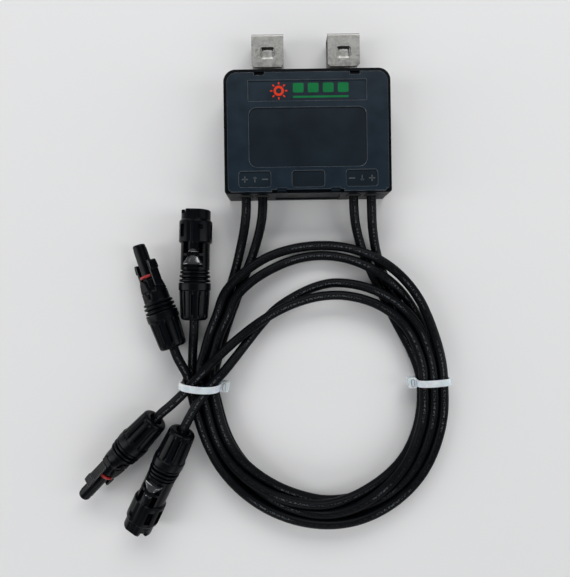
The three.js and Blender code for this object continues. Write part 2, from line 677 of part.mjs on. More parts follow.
function leadTube(points) {
  const stations = points.map((point) => new THREE.Vector3(...point));
  const curve = new THREE.CatmullRomCurve3(stations, false, 'centripetal');
  curve.arcLengthDivisions = 1200;
  const section = new THREE.Shape();
  section.absarc(0, 0, CABLE.diameter / 2, 0, 2 * Math.PI);
  const steps = Math.round(curve.getLength() / (2 * CABLE.diameter));
  const options = { steps, extrudePath: curve, bevelEnabled: false, curveSegments: CABLE.sides / 2 };
  return toGeometry(toSolid(new THREE.ExtrudeGeometry(section, options)));
}

function addLeads() {
  for (const [name, points] of Object.entries(LEADS)) {
    place(device, name, leadTube(points), 'jacket');
  }
}

// ---------------------------------------------------------------- cable ties

const STRAP = { width: 3.8, thickness: 1.2 };

// A closed strap round a bundle, with its square head at one end, in the local X-Z plane.
function cableTie({ half, height, corner, headSide }) {
  const grow = STRAP.thickness;
  const outside = slab([-half - grow, 0, 0], [half + grow, height + 2 * grow, STRAP.width], corner + grow);
  const inside = slab([-half, grow, -1], [half, height + grow, STRAP.width + 1], corner);
  const [headLeft, headRight] = headSide > 0 ? [half + 0.4, half + 6] : [-half - 6, -half - 0.4];
  const headLow = height * 0.35;
  const head = slab([headLeft, headLow, -0.8], [headRight, headLow + 6.2, STRAP.width + 1.6], 1);
  const strap = carve(outside, [head], [inside]);
  return strap.translate(0, 0, -STRAP.width / 2).rotateX(Math.PI / 2);
}

function addTies() {
  const left = cableTie({ half: 11.7, height: 20.1, corner: 4.5, headSide: 1 });
  place(device, 'cable_tie_left', left, 'nylon', [-69.6, -170.7, 0.1]).rotation.z = -0.1;
  const right = cableTie({ half: 9.7, height: 13.3, corner: 2.5, headSide: -1 });
  place(device, 'cable_tie_right', right, 'nylon', [78.8, -171, 0.1]).rotation.z = 0.06;
}

// ---------------------------------------------------------------- assembly

addHousing();
addElectronics();
addLeads();
addTies();
for (const [name, connector] of Object.entries(CONNECTORS)) {
  addConnector(name, connector);
}

export default device;
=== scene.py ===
"""Looks of the solar module optimizer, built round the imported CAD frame.

Shapes are written in millimetres and turned into metres as each mesh is made.
+Z comes out of the front cover, +Y points to the frame clips and +X to the right.
"""
import math

import bmesh
import bpy
from mathutils import Euler, Matrix, Vector


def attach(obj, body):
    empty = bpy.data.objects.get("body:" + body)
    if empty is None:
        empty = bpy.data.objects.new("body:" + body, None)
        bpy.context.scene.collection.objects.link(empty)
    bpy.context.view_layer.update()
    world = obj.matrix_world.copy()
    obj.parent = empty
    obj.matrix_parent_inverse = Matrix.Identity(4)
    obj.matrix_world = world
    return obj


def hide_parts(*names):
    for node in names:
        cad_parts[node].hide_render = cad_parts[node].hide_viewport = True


MM = 0.001
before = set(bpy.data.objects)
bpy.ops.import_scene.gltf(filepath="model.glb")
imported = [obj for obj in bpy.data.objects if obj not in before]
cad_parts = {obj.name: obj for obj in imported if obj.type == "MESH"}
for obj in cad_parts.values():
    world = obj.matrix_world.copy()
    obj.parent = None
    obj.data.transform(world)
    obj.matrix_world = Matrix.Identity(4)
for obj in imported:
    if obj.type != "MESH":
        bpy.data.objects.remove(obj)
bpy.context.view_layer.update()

TAU = 2 * math.pi
RIGHT_ANGLE = math.pi / 2
QUARTER = math.pi / 4
EDGE_ANGLE = math.radians(32)
ROUND_ANGLE = math.radians(40)
MATERIAL_SLOTS = 3  # body, edge with a painted highlight, and a sunk floor or polished hump

# -------- camera

CAMERA_PLACE = (-15.15, -110.15, 298.5)
CAMERA_ROLL = math.radians(-0.8)


def add_object(name, data):
    made = bpy.data.objects.new(name, data)
    bpy.context.scene.collection.objects.link(made)
    return made


def add_camera():
    data = bpy.data.cameras.new("photo_camera")
    data.lens = 28.1
    data.sensor_width = 36
    data.clip_start = 0.01
    camera = add_object("photo_camera", data)
    camera.location = Vector(CAMERA_PLACE) * MM
    camera.rotation_euler = (0, 0, CAMERA_ROLL)
    bpy.context.scene.camera = camera


add_camera()

# -------- materials


def node(tree, kind, inputs=None, **settings):
    """Adds a shader node; a socket given as an input value is linked."""
    made = tree.nodes.new(kind)
    for key, value in settings.items():
        setattr(made, key, value)
    for key, value in (inputs or {}).items():
        if isinstance(value, bpy.types.NodeSocket):
            tree.links.new(value, made.inputs[key])
        else:
            made.inputs[key].default_value = value
    return made


def shaded(color, factor):
    return tuple(min(channel * factor, 1) for channel in color) + (1,)


def noise(tree, place, size_mm, detail=3, roughness=0.5):
    """Noise whose features are about size_mm across."""
    settings = {"Vector": place, "Scale": 1 / (size_mm * MM), "Detail": detail, "Roughness": roughness}
    return node(tree, "ShaderNodeTexNoise", settings).outputs["Fac"]


def spread(tree, value, low, high, to_low, to_high):
    """Maps a value from one range to another and holds it inside."""
    inputs = {"Value": value, "From Min": low, "From Max": high, "To Min": to_low, "To Max": to_high}
    return node(tree, "ShaderNodeMapRange", inputs).outputs["Result"]


def mixed(tree, share, first, second):
    inputs = {0: share, 6: first, 7: second}
    return node(tree, "ShaderNodeMix", inputs, data_type="RGBA").outputs[2]


def maths(tree, operation, *values):
    return node(tree, "ShaderNodeMath", dict(enumerate(values)), operation=operation).outputs[0]


def add_bump(tree, shader, height, strength, depth_mm):
    bump = node(tree, "ShaderNodeBump", {"Height": height, "Strength": strength, "Distance": depth_mm * MM})
    tree.links.new(bump.outputs["Normal"], shader.inputs["Normal"])


def start_material(name):
    """An empty material with its shader, its tree and object coordinates."""
    material = bpy.data.materials.new(name)
    material.use_nodes = True
    tree = material.node_tree
    shader = tree.nodes["Principled BSDF"]
    place = node(tree, "ShaderNodeTexCoord").outputs["Object"]
    return material, tree, shader, place


def surface(name, color, roughness, grain=0.4, depth=0.02, mottle=9, amount=0.18, dust=0.0, **sockets):
    """A moulded or cast surface: fine grain in the bump, broad mottling and sparse pale dust."""
    material, tree, shader, place = start_material(name)
    broad = noise(tree, place, mottle, 4)
    fine = noise(tree, place, grain, 2)
    share = spread(tree, broad, 0.3, 0.7, 0, 1)
    tone = mixed(tree, share, shaded(color, 1 - amount), shaded(color, 1 + amount))
    if dust:
        specks = spread(tree, noise(tree, place, 0.9, 5, 0.75), 0.66, 0.78, 0, dust)
        tone = mixed(tree, specks, tone, (0.35, 0.36, 0.36, 1))
    tree.links.new(tone, shader.inputs["Base Color"])
    rough = spread(tree, broad, 0.25, 0.75, roughness - 0.06, roughness + 0.06)
    tree.links.new(rough, shader.inputs["Roughness"])
    add_bump(tree, shader, fine, 0.6, depth)
    for key, value in sockets.items():
        shader.inputs[key.replace("_", " ")].default_value = value
    return material


def sheet_steel(name, color, roughness):
    """Rolled, zinc-coated sheet: crystal patches, pale clouding and fine rolling lines."""
    material, tree, shader, place = start_material(name)
    patches = node(tree, "ShaderNodeTexVoronoi", {"Vector": place, "Scale": 1 / (1.1 * MM)})
    spangle = node(tree, "ShaderNodeSeparateColor", {"Color": patches.outputs["Color"]}).outputs[0]
    stretched = node(tree, "ShaderNodeMapping", {"Vector": place, "Scale": (6, 0.6, 6)}).outputs["Vector"]
    lines = noise(tree, stretched, 0.9, 6, 0.65)
    cloud = noise(tree, place, 3.2, 5, 0.7)
    grey = mixed(tree, spread(tree, cloud, 0.3, 0.7, 0, 1), shaded(color, 0.88), shaded(color, 1.06))
    grey = mixed(tree, spread(tree, spangle, 0, 1, 0, 0.1), grey, (0.9, 0.9, 0.88, 1))
    tree.links.new(grey, shader.inputs["Base Color"])
    tree.links.new(spread(tree, spangle, 0, 1, roughness - 0.08, roughness + 0.1), shader.inputs["Roughness"])
    add_bump(tree, shader, lines, 0.35, 0.02)
    shader.inputs["Metallic"].default_value = 1
    return material


def cable_jacket(name):
    """Black jacket with faint scuffs and a broken line of pale print that says nothing."""
    material, tree, shader, place = start_material(name)
    along = node(tree, "ShaderNodeUVMap", uv_map="along").outputs["UV"]
    parts = node(tree, "ShaderNodeSeparateXYZ", {"Vector": along})
    cells = node(tree, "ShaderNodeMapping", {"Vector": along, "Scale": (1 / (1.1 * MM), 22, 1)})
    marks = node(tree, "ShaderNodeTexNoise", {"Vector": cells.outputs["Vector"], "Scale": 1, "Detail": 0})
    ink = spread(tree, marks.outputs["Fac"], 0.5, 0.56, 0, 1)
    gaps = noise(tree, place, 30, 0)
    ink = maths(tree, "MULTIPLY", ink, spread(tree, gaps, 0.42, 0.5, 0.1, 0.7))
    side = maths(tree, "ABSOLUTE", maths(tree, "SUBTRACT", parts.outputs["Y"], 0.25))
    print_share = maths(tree, "MULTIPLY", ink, spread(tree, side, 0.025, 0.04, 1, 0))
    scuffs = noise(tree, place, 5, 5, 0.7)
    wear = spread(tree, scuffs, 0.35, 0.75, 0, 1)
    black = mixed(tree, wear, (0.001, 0.0016, 0.0024, 1), (0.0025, 0.0036, 0.005, 1))
    black = mixed(tree, print_share, black, (0.1, 0.108, 0.115, 1))
    tree.links.new(black, shader.inputs["Base Color"])
    tree.links.new(spread(tree, scuffs, 0.3, 0.7, 0.34, 0.46), shader.inputs["Roughness"])
    shader.inputs["Specular IOR Level"].default_value = 0.08
    add_bump(tree, shader, noise(tree, place, 0.35, 2), 0.4, 0.015)
    return material


HOUSING = surface(
    "housing_plastic", (0.0036, 0.0122, 0.0225), 0.4, grain=0.3, dust=0.08, Specular_IOR_Level=0.25,
)
# The cover's bevel faces get a much lighter colour than the plate: a painted highlight along its edges.
HOUSING_EDGE_HIGHLIGHT = surface(
    "housing_edge_highlight", (0.1, 0.118, 0.13), 0.24, grain=0.6, depth=0.01, Specular_IOR_Level=1.0,
)
TRAY = surface(
    "tray_plastic", (0.001, 0.0024, 0.004), 0.38, grain=0.3, dust=0.02, Specular_IOR_Level=0.09,
)
# The tray's bevel faces get a lighter colour than the tray: a painted highlight along its edges.
TRAY_EDGE_HIGHLIGHT = surface("tray_edge_highlight", (0.01, 0.014, 0.017), 0.26, grain=0.6, depth=0.01)
PANEL = surface(
    "panel_plastic", (0.0025, 0.0085, 0.0145), 0.36, grain=0.25, mottle=25, amount=0.3, dust=0.08,
    Specular_IOR_Level=0.25,
)
CONNECTOR = surface(
    "connector_plastic", (0.0007, 0.0013, 0.0023), 0.3, grain=0.35, dust=0.015, Specular_IOR_Level=0.1,
)
# The connectors' bevel faces get a lighter colour than the body: a painted highlight along their edges.
CONNECTOR_EDGE_HIGHLIGHT = surface("connector_edge_highlight", (0.006, 0.008, 0.011), 0.2, grain=0.6, depth=0.01)
CONNECTOR_GLOSS = surface(
    "connector_gloss", (0.008, 0.01, 0.013), 0.14, grain=0.8, depth=0.01, Specular_IOR_Level=1.0,
    Coat_Weight=0.6, Coat_Roughness=0.08,
)
RUBBER = surface("sealing_rubber", (0.012, 0.012, 0.012), 0.7, grain=0.25)
RED = surface("red_seal", (0.32, 0.009, 0.009), 0.4, grain=0.3, amount=0.12)
NYLON = surface(
    "tie_nylon", (0.62, 0.68, 0.72), 0.38, grain=0.5, mottle=4, amount=0.1,
    Subsurface_Weight=0.35, Subsurface_Scale=0.002,
)
STEEL = sheet_steel("clip_steel", (0.27, 0.268, 0.255), 0.38)
SCREW_STEEL = sheet_steel("screw_steel", (0.5, 0.5, 0.5), 0.3)
JACKET = cable_jacket("cable_jacket")
BRASS = surface("contact_brass", (0.62, 0.5, 0.3), 0.28, grain=0.2, amount=0.1, Metallic=1)
LAMINATE = surface("board_laminate", (0.02, 0.16, 0.06), 0.35, grain=0.8, mottle=3)
GEL = surface("thermal_gel", (0.32, 0.38, 0.44), 0.8, grain=0.5)
FERRITE = surface("ferrite", (0.045, 0.045, 0.048), 0.6, grain=0.3, depth=0.05)
ALUMINIUM = surface("can_aluminium", (0.6, 0.61, 0.63), 0.32, grain=0.25, amount=0.06, Metallic=1)
RESIN = surface("chip_resin", (0.018, 0.018, 0.02), 0.5, grain=0.15)
ORANGE = surface("ink_orange", (0.68, 0.035, 0.006), 0.45, grain=0.3, amount=0.08, Specular_IOR_Level=0.15)
GREEN = surface("ink_green", (0.001, 0.15, 0.04), 0.45, grain=0.3, amount=0.1, Specular_IOR_Level=0.15)
MARK = surface("raised_marks", (0.06, 0.075, 0.085), 0.35, grain=0.3)
FLOOR = surface("pale_floor", (0.81, 0.81, 0.81), 0.9, grain=2, depth=0.01, mottle=300, amount=0.005)

CAD_MATERIALS = {
    "circuit_board": LAMINATE,
    "board_screw": SCREW_STEEL,
    "clip_screw": SCREW_STEEL,
    "thermal_pad": GEL,
    "power_inductor": FERRITE,
    "input_capacitor": ALUMINIUM,
    "output_capacitor": ALUMINIUM,
    "switch_transistor": RESIN,
    "controller_chip": RESIN,
    "wire_terminal": BRASS,
    "cover_gasket": RUBBER,
    "cable_seal": RUBBER,
    "pin_contact": BRASS,
    "socket_contact": BRASS,
}


def paint_cad_nodes():
    """Gives each CAD node that stays in view the material of its kind."""
    for name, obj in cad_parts.items():
        for kind, material in CAD_MATERIALS.items():
            if kind in name:
                for place in obj.material_slots:
                    place.material = material


paint_cad_nodes()

# -------- mesh tools


def as_mesh(name, bm):
    """A mesh of bm, which is used up."""
    mesh = bpy.data.meshes.new(name)
    bm.to_mesh(mesh)
    bm.free()
    return mesh


def add_piece(name, bm, materials, body, replaces=(), smooth=EDGE_ANGLE):
    """Makes an object from bm (in mm), which is used up, and rides it on a body."""
    bmesh.ops.recalc_face_normals(bm, faces=bm.faces)
    bmesh.ops.scale(bm, vec=(MM, MM, MM), verts=bm.verts)
    mesh = as_mesh(name, bm)
    mesh.shade_smooth()
    mesh.set_sharp_from_angle(angle=smooth)
    piece = add_object(name, mesh)
    for material in materials:
        mesh.materials.append(material)
    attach(piece, body)
    if replaces:
        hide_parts(*replaces)
    piece.modifiers.new("even_normals", "WEIGHTED_NORMAL").keep_sharp = True
    return piece


def as_object(bm):
    bmesh.ops.recalc_face_normals(bm, faces=bm.faces)
    mesh = as_mesh("working", bm)
    for _ in range(MATERIAL_SLOTS):
        mesh.materials.append(None)
    return add_object("working", mesh)


def modified(bm, modifiers):
    """bm after the listed modifiers, each (type, settings), as a new bmesh."""
    working = as_object(bm)
    for kind, settings in modifiers:
        modifier = working.modifiers.new(kind, kind)
        for key, value in settings.items():
            setattr(modifier, key, value)
    graph = bpy.context.evaluated_depsgraph_get()
    result = bmesh.new()
    mesh = working.evaluated_get(graph).to_mesh()
    result.from_mesh(mesh)
    old = working.data
    bpy.data.objects.remove(working)
    bpy.data.meshes.remove(old)
    return result


def combined(bm, others, operation):
    """Adds the other solids to bm or cuts them from it. All are used up."""
    helpers = [as_object(other) for other in others]
    steps = [
        ("BOOLEAN", {"object": helper, "operation": operation, "solver": "EXACT"}) for helper in helpers
    ]
    result = modified(bm, steps)
    for helper in helpers:
        mesh = helper.data
        bpy.data.objects.remove(helper)
        bpy.data.meshes.remove(mesh)
    return result


# The given slot takes the bevel faces; its lighter material paints a highlight along the edges. -1 leaves
# them in the body's slot.
def bevelled(bm, width, segments=2, angle=EDGE_ANGLE, edge_highlight_slot=-1):
    bmesh.ops.remove_doubles(bm, verts=bm.verts, dist=1e-4)
    bmesh.ops.dissolve_limit(bm, angle_limit=math.radians(0.5), verts=bm.verts, edges=bm.edges)
    settings = {
        "width": width,
        "segments": segments,
        "limit_method": "ANGLE",
        "angle_limit": angle,
        "use_clamp_overlap": True,
        "material": edge_highlight_slot,
    }
    return modified(bm, [("BEVEL", settings)])


def merged(parts):
    """Several bmeshes as one, without joining their surfaces."""
    whole = bmesh.new()
    for part in parts:
        mesh = as_mesh("part", part)
        whole.from_mesh(mesh)
        bpy.data.meshes.remove(mesh)
    return whole


def skinned(outlines):
    """A solid through closed outlines of equally many points, capped at both ends."""
    bm = bmesh.new()
    rows = [[bm.verts.new(point) for point in outline] for outline in outlines]
    count = len(rows[0])
    for first, second in zip(rows, rows[1:]):
        for index in range(count):
            after = (index + 1) % count
            bm.faces.new((first[index], first[after], second[after], second[index]))
    bm.faces.new(rows[0][::-1])
    bm.faces.new(rows[-1])
    return bm


def prism(outline, low, high):
    """A straight-sided solid on an XY outline."""
    return skinned([[(x, y, z) for x, y in outline] for z in (low, high)])


def block(low, high):
    (x0, y0, z0), (x1, y1, z1) = low, high
    return prism([(x0, y0), (x1, y0), (x1, y1), (x0, y1)], z0, z1)


def rounded(x0, y0, x1, y1, radii, steps=8):
    """A rectangle's outline with a radius for each corner, from the lower left anticlockwise."""
    corners = [
        (x0, y0, 1, 1, math.pi),
        (x1, y0, -1, 1, 1.5 * math.pi),
        (x1, y1, -1, -1, 0),
        (x0, y1, 1, -1, 0.5 * math.pi),
    ]
    outline = []
    for (x, y, sx, sy, start), radius in zip(corners, radii):
        if not radius:
            outline.append((x, y))
            continue
        for step in range(steps + 1):
            angle = start + 0.5 * math.pi * step / steps
            outline.append((x + radius * (sx + math.cos(angle)), y + radius * (sy + math.sin(angle))))
    return outline


def rounded_box(low, high, radius, steps=4):
    return prism(rounded(low[0], low[1], high[0], high[1], [radius] * 4, steps), low[2], high[2])


def turned(profile, columns=64, shape=None, closed=True):
    """Turns [x, radius] points about local X. shape(x, radius, angle) may change a radius."""
    bm = bmesh.new()
    rings = []
    for x, radius in profile:
        if radius == 0:
            rings.append([bm.verts.new((x, 0, 0))])
            continue
        ring = []
        for column in range(columns):
            angle = TAU * column / columns
            r = shape(x, radius, angle) if shape else radius
            ring.append(bm.verts.new((x, r * math.cos(angle), r * math.sin(angle))))
        rings.append(ring)
    pairs = list(zip(rings, rings[1:]))
    if closed:
        pairs.append((rings[-1], rings[0]))
    for first, second in pairs:
        for column in range(columns):
            after = (column + 1) % columns
            if len(first) == 1 and len(second) == 1:
                break
            if len(first) == 1:
                bm.faces.new((first[0], second[column], second[after]))
            elif len(second) == 1:
                bm.faces.new((first[column], second[0], first[after]))
            else:
                bm.faces.new((first[column], second[column], second[after], first[after]))
    return bm


def moved(bm, matrix):
    bmesh.ops.transform(bm, matrix=matrix, verts=bm.verts)
    return bm


def placed(bm, place, angle, axis):
    """bm turned about an axis through the origin, then moved to its place."""
    return moved(bm, Matrix.Translation(place) @ Matrix.Rotation(angle, 4, axis))


def upright(profile, columns, x, y):
    """A turned profile stood on end, so that its X becomes a height above the back face."""
    return placed(turned(profile, columns), (x, y, 0), -RIGHT_ANGLE, "Y")


# -------- connectors' places

CONNECTORS = {
    "probe_upper": {"kind": "probe", "rear": (-86.8, -146.9, 10.4), "turn": (-42, 0, 108.3)},
    "barrel_upper": {"kind": "barrel", "rear": (-73.5, -129.5, 10.6), "turn": (0, 0, 88.1)},
    "probe_lower": {"kind": "probe", "rear": (-98, -191.7, 12.4), "turn": (-60, 2.7, 225.8)},
    "barrel_lower": {"kind": "barrel", "rear": (-80.5, -198.6, 14.8), "turn": (15, 3.6, 243.7)},
}


def connector_matrix(name):
    """Local +X runs from the nut's rear to the connector's tip. A turn is (roll, tilt, heading)."""
    spec = CONNECTORS[name]
    turn = Euler([math.radians(angle) for angle in spec["turn"]], "XYZ")
    return Matrix.Translation(spec["rear"]) @ turn.to_matrix().to_4x4()

# -------- leads

# The routes are those of the CAD source, in millimetres.
CABLE_RADIUS = 3.0
CABLE_PITCH = 6.3
FLOOR_Z = 3.2
TIE_LIFT = 1.6
EXIT_X = {"in_positive": -39, "in_negative": -28.5, "out_negative": 29.2, "out_positive": 40.5}
EXIT_Z = 12.5
HOUSING_BOTTOM = -51.75

LOOP_SPINE = [
    (-70.5, -170.5), (-66.8, -187), (-60.8, -206), (-53, -221), (-42, -233.8), (-27, -245),
    (-10, -252.3), (8, -255.4), (25, -254), (40, -248.6), (54.5, -239), (66, -226.5),
    (74, -211), (78.6, -192), (78.8, -171),
]


def smooth_step(value):
    value = min(max(value, 0), 1)
    return value * value * (3 - 2 * value)


def loop_stations():
    """Each point of the bundle's middle line, its outward normal and its share of the way round."""
    last = len(LOOP_SPINE) - 1
    stations = []
    for index, (x, y) in enumerate(LOOP_SPINE):
        ax, ay = LOOP_SPINE[max(index - 1, 0)]
        bx, by = LOOP_SPINE[min(index + 1, last)]
        length = math.hypot(bx - ax, by - ay)
        stations.append((x, y, (by - ay) / length, -(bx - ax) / length, index / last))
    return stations


def tie_lift(share):
    return TIE_LIFT * (1 - smooth_step(min(share, 1 - share) / 0.14))


def outer_lane(level):
    """Two strands stay stacked on the outer side of the bundle."""
    lane = []
    for x, y, nx, ny, share in loop_stations():
        z = FLOOR_Z + tie_lift(share) + level * CABLE_PITCH
        lane.append((x + nx * CABLE_PITCH, y + ny * CABLE_PITCH, z))
    return lane


def twisted_lane(start_angle):
    """Four strands form a square that makes half a turn about its middle on the way round."""
    radius = CABLE_PITCH / math.sqrt(2)
    lane = []
    for x, y, nx, ny, share in loop_stations():
        turn = math.pi * smooth_step((share - 0.1) / 0.8)
        spreading = abs(math.sin(2 * turn))
        slack = 1.5 * (1 - smooth_step(share / 0.14))
        angle = start_angle + turn
        offset = -CABLE_PITCH / 2 - 1.3 * spreading - slack + radius * math.cos(angle)
        middle = FLOOR_Z + CABLE_PITCH / 2 + 1.35 * spreading + tie_lift(share)
        lane.append((x + nx * offset, y + ny * offset, middle + radius * math.sin(angle)))
    return lane


def housing_run(x):
    return [(x, y, EXIT_Z) for y in (-36, -44, HOUSING_BOTTOM)]


def connector_run(name):
    matrix = connector_matrix(name)
    return [tuple(matrix @ Vector((x, 0, 0))) for x in (-5.5, 2, 9.5, 17.4)]


# Free stretches of the leads, from the housing or from a tie.
IN_POSITIVE_DROP = [
    (-39.1, -60, 12.3), (-40.2, -69, 10.4), (-42.2, -78, 7.4), (-44.6, -87, 4.6), (-47, -96, 3.3),
    (-50.3, -106.7, 3.2), (-55, -119, 3.2), (-60.2, -132, 3.2), (-64.9, -146, 3.3), (-67.8, -158.5, 4),
]
IN_NEGATIVE_DROP = [
    (-28.7, -60, 12.3), (-30, -69, 10.4), (-32.5, -78, 7.4), (-35.6, -87, 4.6), (-39.1, -96, 3.3),
    (-43.4, -107, 3.2), (-48.1, -119.5, 3.2), (-52.8, -132, 3.2), (-57.1, -145.5, 3.3), (-60.6, -158.5, 4),
]
OUT_NEGATIVE_DROP = [
    (29.4, -60, 12.2), (30.5, -69, 10), (32.9, -78, 6.9), (36, -87, 4.4), (40.2, -97, 3.2),
    (45.2, -108, 3.2), (50.7, -119.5, 3.2), (56.4, -131.5, 3.2), (61.9, -142, 3.2), (66.8, -152, 3.6),
    (70.4, -161.5, 4.2),
]
OUT_POSITIVE_DROP = [
    (40.6, -60, 12.2), (41.2, -69, 10.2), (42.6, -78, 7.2), (44.6, -87, 4.7), (47.3, -96, 3.4),
    (51, -105.5, 3.2), (56, -115.5, 3.2), (61.6, -126, 3.2), (67.4, -137, 3.2), (72.8, -148.5, 3.3),
    (76.8, -160.3, 4),
]
OUTER_ARCH = [
    (-69.8, -160, 10.6), (-67, -149.5, 10.1), (-63.7, -138, 9.9), (-59.1, -126.5, 9.8),
    (-53.6, -112.3, 9.7),
    (-42.3, -100.3, 9.7), (-26, -89.8, 8.2), (-8, -84, 5.2), (9, -82.4, 4.2), (24, -84, 6.4),
    (36, -88, 9.6), (46, -93, 10.8), (55.5, -100, 11.4), (64, -109, 11.6), (70.5, -118.5, 11.4),
    (75.3, -128.5, 11.1), (79, -138.5, 10.9), (82.2, -149, 10.8), (84.4, -160, 10.9),
]
SECOND_ARCH = [
    (-63.4, -160, 10.6), (-60.5, -149.5, 10.1), (-57.2, -138.5, 9.9), (-52.1, -127.5, 9.8),
    (-47.3, -116.2, 9.7),
    (-37.5, -106.2, 9.7), (-23, -97.2, 8.2), (-7, -91, 5.2), (8.5, -89, 4.2), (23, -90.8, 6.2),
    (34, -94.8, 9.4), (42.7, -99.4, 10.3), (50.5, -104.9, 9.6), (58, -111.2, 7.2), (64.4, -118.3, 4.6),
    (70, -127, 3.4), (75.1, -137.5, 3.2), (79.7, -149, 3.3), (83.2, -160.3, 4),
]
INNER_ARCH_TO_PROBE = [
    (72.0, -160.5, 10.4), (69.2, -150.5, 9.9), (65.2, -141.3, 9.7), (59.2, -132.6, 9.7), (51.5, -125.7, 9.7),
    (42.6, -120.6, 9.7), (32.5, -117, 9.3), (20.5, -115, 8.8), (7, -115.6, 8.7), (-8, -119.4, 9.1),
    (-22, -125.6, 9.7), (-34, -133, 10.2), (-45, -141.3, 11.8), (-53.5, -148.5, 14.6), (-60.5, -155, 16.8),
    (-67, -161.7, 17.5), (-73, -168, 17.6), (-79, -174.3, 17.3), (-85, -180, 15.6), (-90, -184.4, 13.9),
]
INNER_ARCH_TO_BARREL = [
    (78.1, -160.5, 10.4), (75.5, -149.8, 9.9), (71.6, -138.8, 9.7), (65.2, -129, 9.7), (57.1, -121, 9.7),
    (48.2, -115, 9.7), (38, -110.4, 8.8), (27, -107.7, 6.4), (15.5, -107, 4.2), (4.5, -109.4, 3.3),
    (-8.5, -115.2, 3.3), (-21.5, -123.6, 3.3), (-31.5, -134, 4), (-40.5, -145, 7.8), (-48.5, -155, 12.6),
    (-55.5, -163.2, 16.2), (-62, -169.5, 17.6), (-66.2, -175.3, 17.9), (-70.8, -181.3, 17.4),
    (-74.5, -187.3, 16.3),
]
UPPER_PROBE_END = [
    (-78.6, -164.2, 10.9), (-82, -158, 10.6),
]
UPPER_BARREL_END = [
    (-76.4, -162.5, 4.9), (-75.7, -154.5, 6.5), (-75, -147.5, 8.4), (-74.2, -141, 9.8),
]

LEAD_ENDS = {
    "lead_in_positive": "probe_lower",
    "lead_in_negative": "barrel_lower",
    "lead_out_negative": "probe_upper",
    "lead_out_positive": "barrel_upper",
}
MIDDLES = {
    "lead_in_positive": [*IN_POSITIVE_DROP, *twisted_lane(-QUARTER), *INNER_ARCH_TO_PROBE],
    "lead_in_negative": [*IN_NEGATIVE_DROP, *twisted_lane(-3 * QUARTER), *INNER_ARCH_TO_BARREL],
    "lead_out_negative": [
        *OUT_NEGATIVE_DROP, *reversed(twisted_lane(QUARTER)), *OUTER_ARCH,
        *reversed(outer_lane(1)), *UPPER_PROBE_END,
    ],
    "lead_out_positive": [
        *OUT_POSITIVE_DROP, *reversed(twisted_lane(3 * QUARTER)), *SECOND_ARCH,
        *reversed(outer_lane(0)), *UPPER_BARREL_END,
    ],
}


def exit_x(lead):
    return EXIT_X[lead.removeprefix("lead_")]


LEADS = {
    name: [*housing_run(exit_x(name)), *middle, *connector_run(LEAD_ENDS[name])]
    for name, middle in MIDDLES.items()
}


def smooth_route(points, spacing):
    """A centripetal Catmull-Rom curve through the points, cut into about equal steps."""
    knots = [Vector(point) for point in points]
    knots = [2 * knots[0] - knots[1], *knots, 2 * knots[-1] - knots[-2]]
    fine = []
    for a, b, c, d in zip(knots, knots[1:], knots[2:], knots[3:]):
        before, own, after = (math.sqrt((q - p).length) for p, q in ((a, b), (b, c), (c, d)))
        leave = ((b - a) / before - (c - a) / (before + own) + (c - b) / own) * own
        arrive = ((c - b) / own - (d - b) / (own + after) + (d - c) / after) * own
        for step in range(24):
            t = step / 24
            square = -3 * b + 3 * c - 2 * leave - arrive
            cube = 2 * b - 2 * c + leave + arrive
            fine.append(b + leave * t + square * t * t + cube * t ** 3)
    fine.append(knots[-2])
    length = sum((q - p).length for p, q in zip(fine, fine[1:]))
    count = round(length / spacing)
    route = [fine[0]]
    travelled = 0.0
    for p, q in zip(fine, fine[1:]):
        step = (q - p).length
        while len(route) < count and travelled + step >= len(route) * length / count:
            share = (len(route) * length / count - travelled) / step
            route.append(p.lerp(q, share))
        travelled += step
    route.append(fine[-1])
    return route, length


def lead_mesh(name, route, columns=20):
    """A round tube on the route, with its distance along and its turn round as a UV map."""
    bm = bmesh.new()
    uv = bm.loops.layers.uv.new("along")
    rings = []
    side = Vector((0, 0, 1))
    for index, point in enumerate(route):
        along = (route[min(index + 1, len(route) - 1)] - route[max(index - 1, 0)]).normalized()
        side = (side - along * side.dot(along)).normalized()
        other = along.cross(side)
        ring = []
        for column in range(columns):
            angle = TAU * column / columns
            spoke = (side * math.sin(angle) + other * math.cos(angle)) * CABLE_RADIUS
            ring.append(bm.verts.new((point + spoke) * MM))
        rings.append(ring)
    step = (route[1] - route[0]).length * MM
    for index, (first, second) in enumerate(zip(rings, rings[1:])):
        for column in range(columns):
            after = (column + 1) % columns
            face = bm.faces.new((first[column], first[after], second[after], second[column]))
            u0, u1 = index * step, (index + 1) * step
            v0, v1 = column / columns, (column + 1) / columns
            for loop, place in zip(face.loops, ((u0, v0), (u0, v1), (u1, v1), (u1, v0))):
                loop[uv].uv = place
    bm.faces.new(rings[0][::-1])
    bm.faces.new(rings[-1])
    bmesh.ops.recalc_face_normals(bm, faces=bm.faces)
    mesh = as_mesh(name, bm)
    mesh.shade_smooth()
    mesh.set_sharp_from_angle(angle=math.radians(60))
    mesh.materials.append(JACKET)
    return mesh


def add_lead(name):
    route, length = smooth_route(LEADS[name], 2.5)
    piece = add_object(name + "_jacket", lead_mesh(name + "_jacket", route))
    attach(piece, "root")
    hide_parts(name)
    return piece, [tuple(point * MM) for point in route], length * MM


lead_pieces = {name: add_lead(name) for name in LEADS}

# -------- housing

COVER_TOP = 26
COVER_LOW = 22.8
RECESS_DEPTH = 0.7
MARK_HEIGHT = 0.07
CLIP_X = 24.2
CLIP_HALF_WIDTH = 10.2
CLIP_SCREW_X = 5.2
CLIP_SCREW_Y = 13
SCREW_RADIUS = 1.6
PANELS = {
    "label": (-36, 3.4, 36, 16.2, 0.8),
    "main": (-35.8, -36.6, 35.8, -0.3, 5),
    "left": (-42.2, -48.7, -22.7, -38.8, 2),
    "middle": (-9.9, -48.8, 9.9, -38.7, 2),
    "right": (22.9, -48.8, 42.1, -38.5, 2),
}


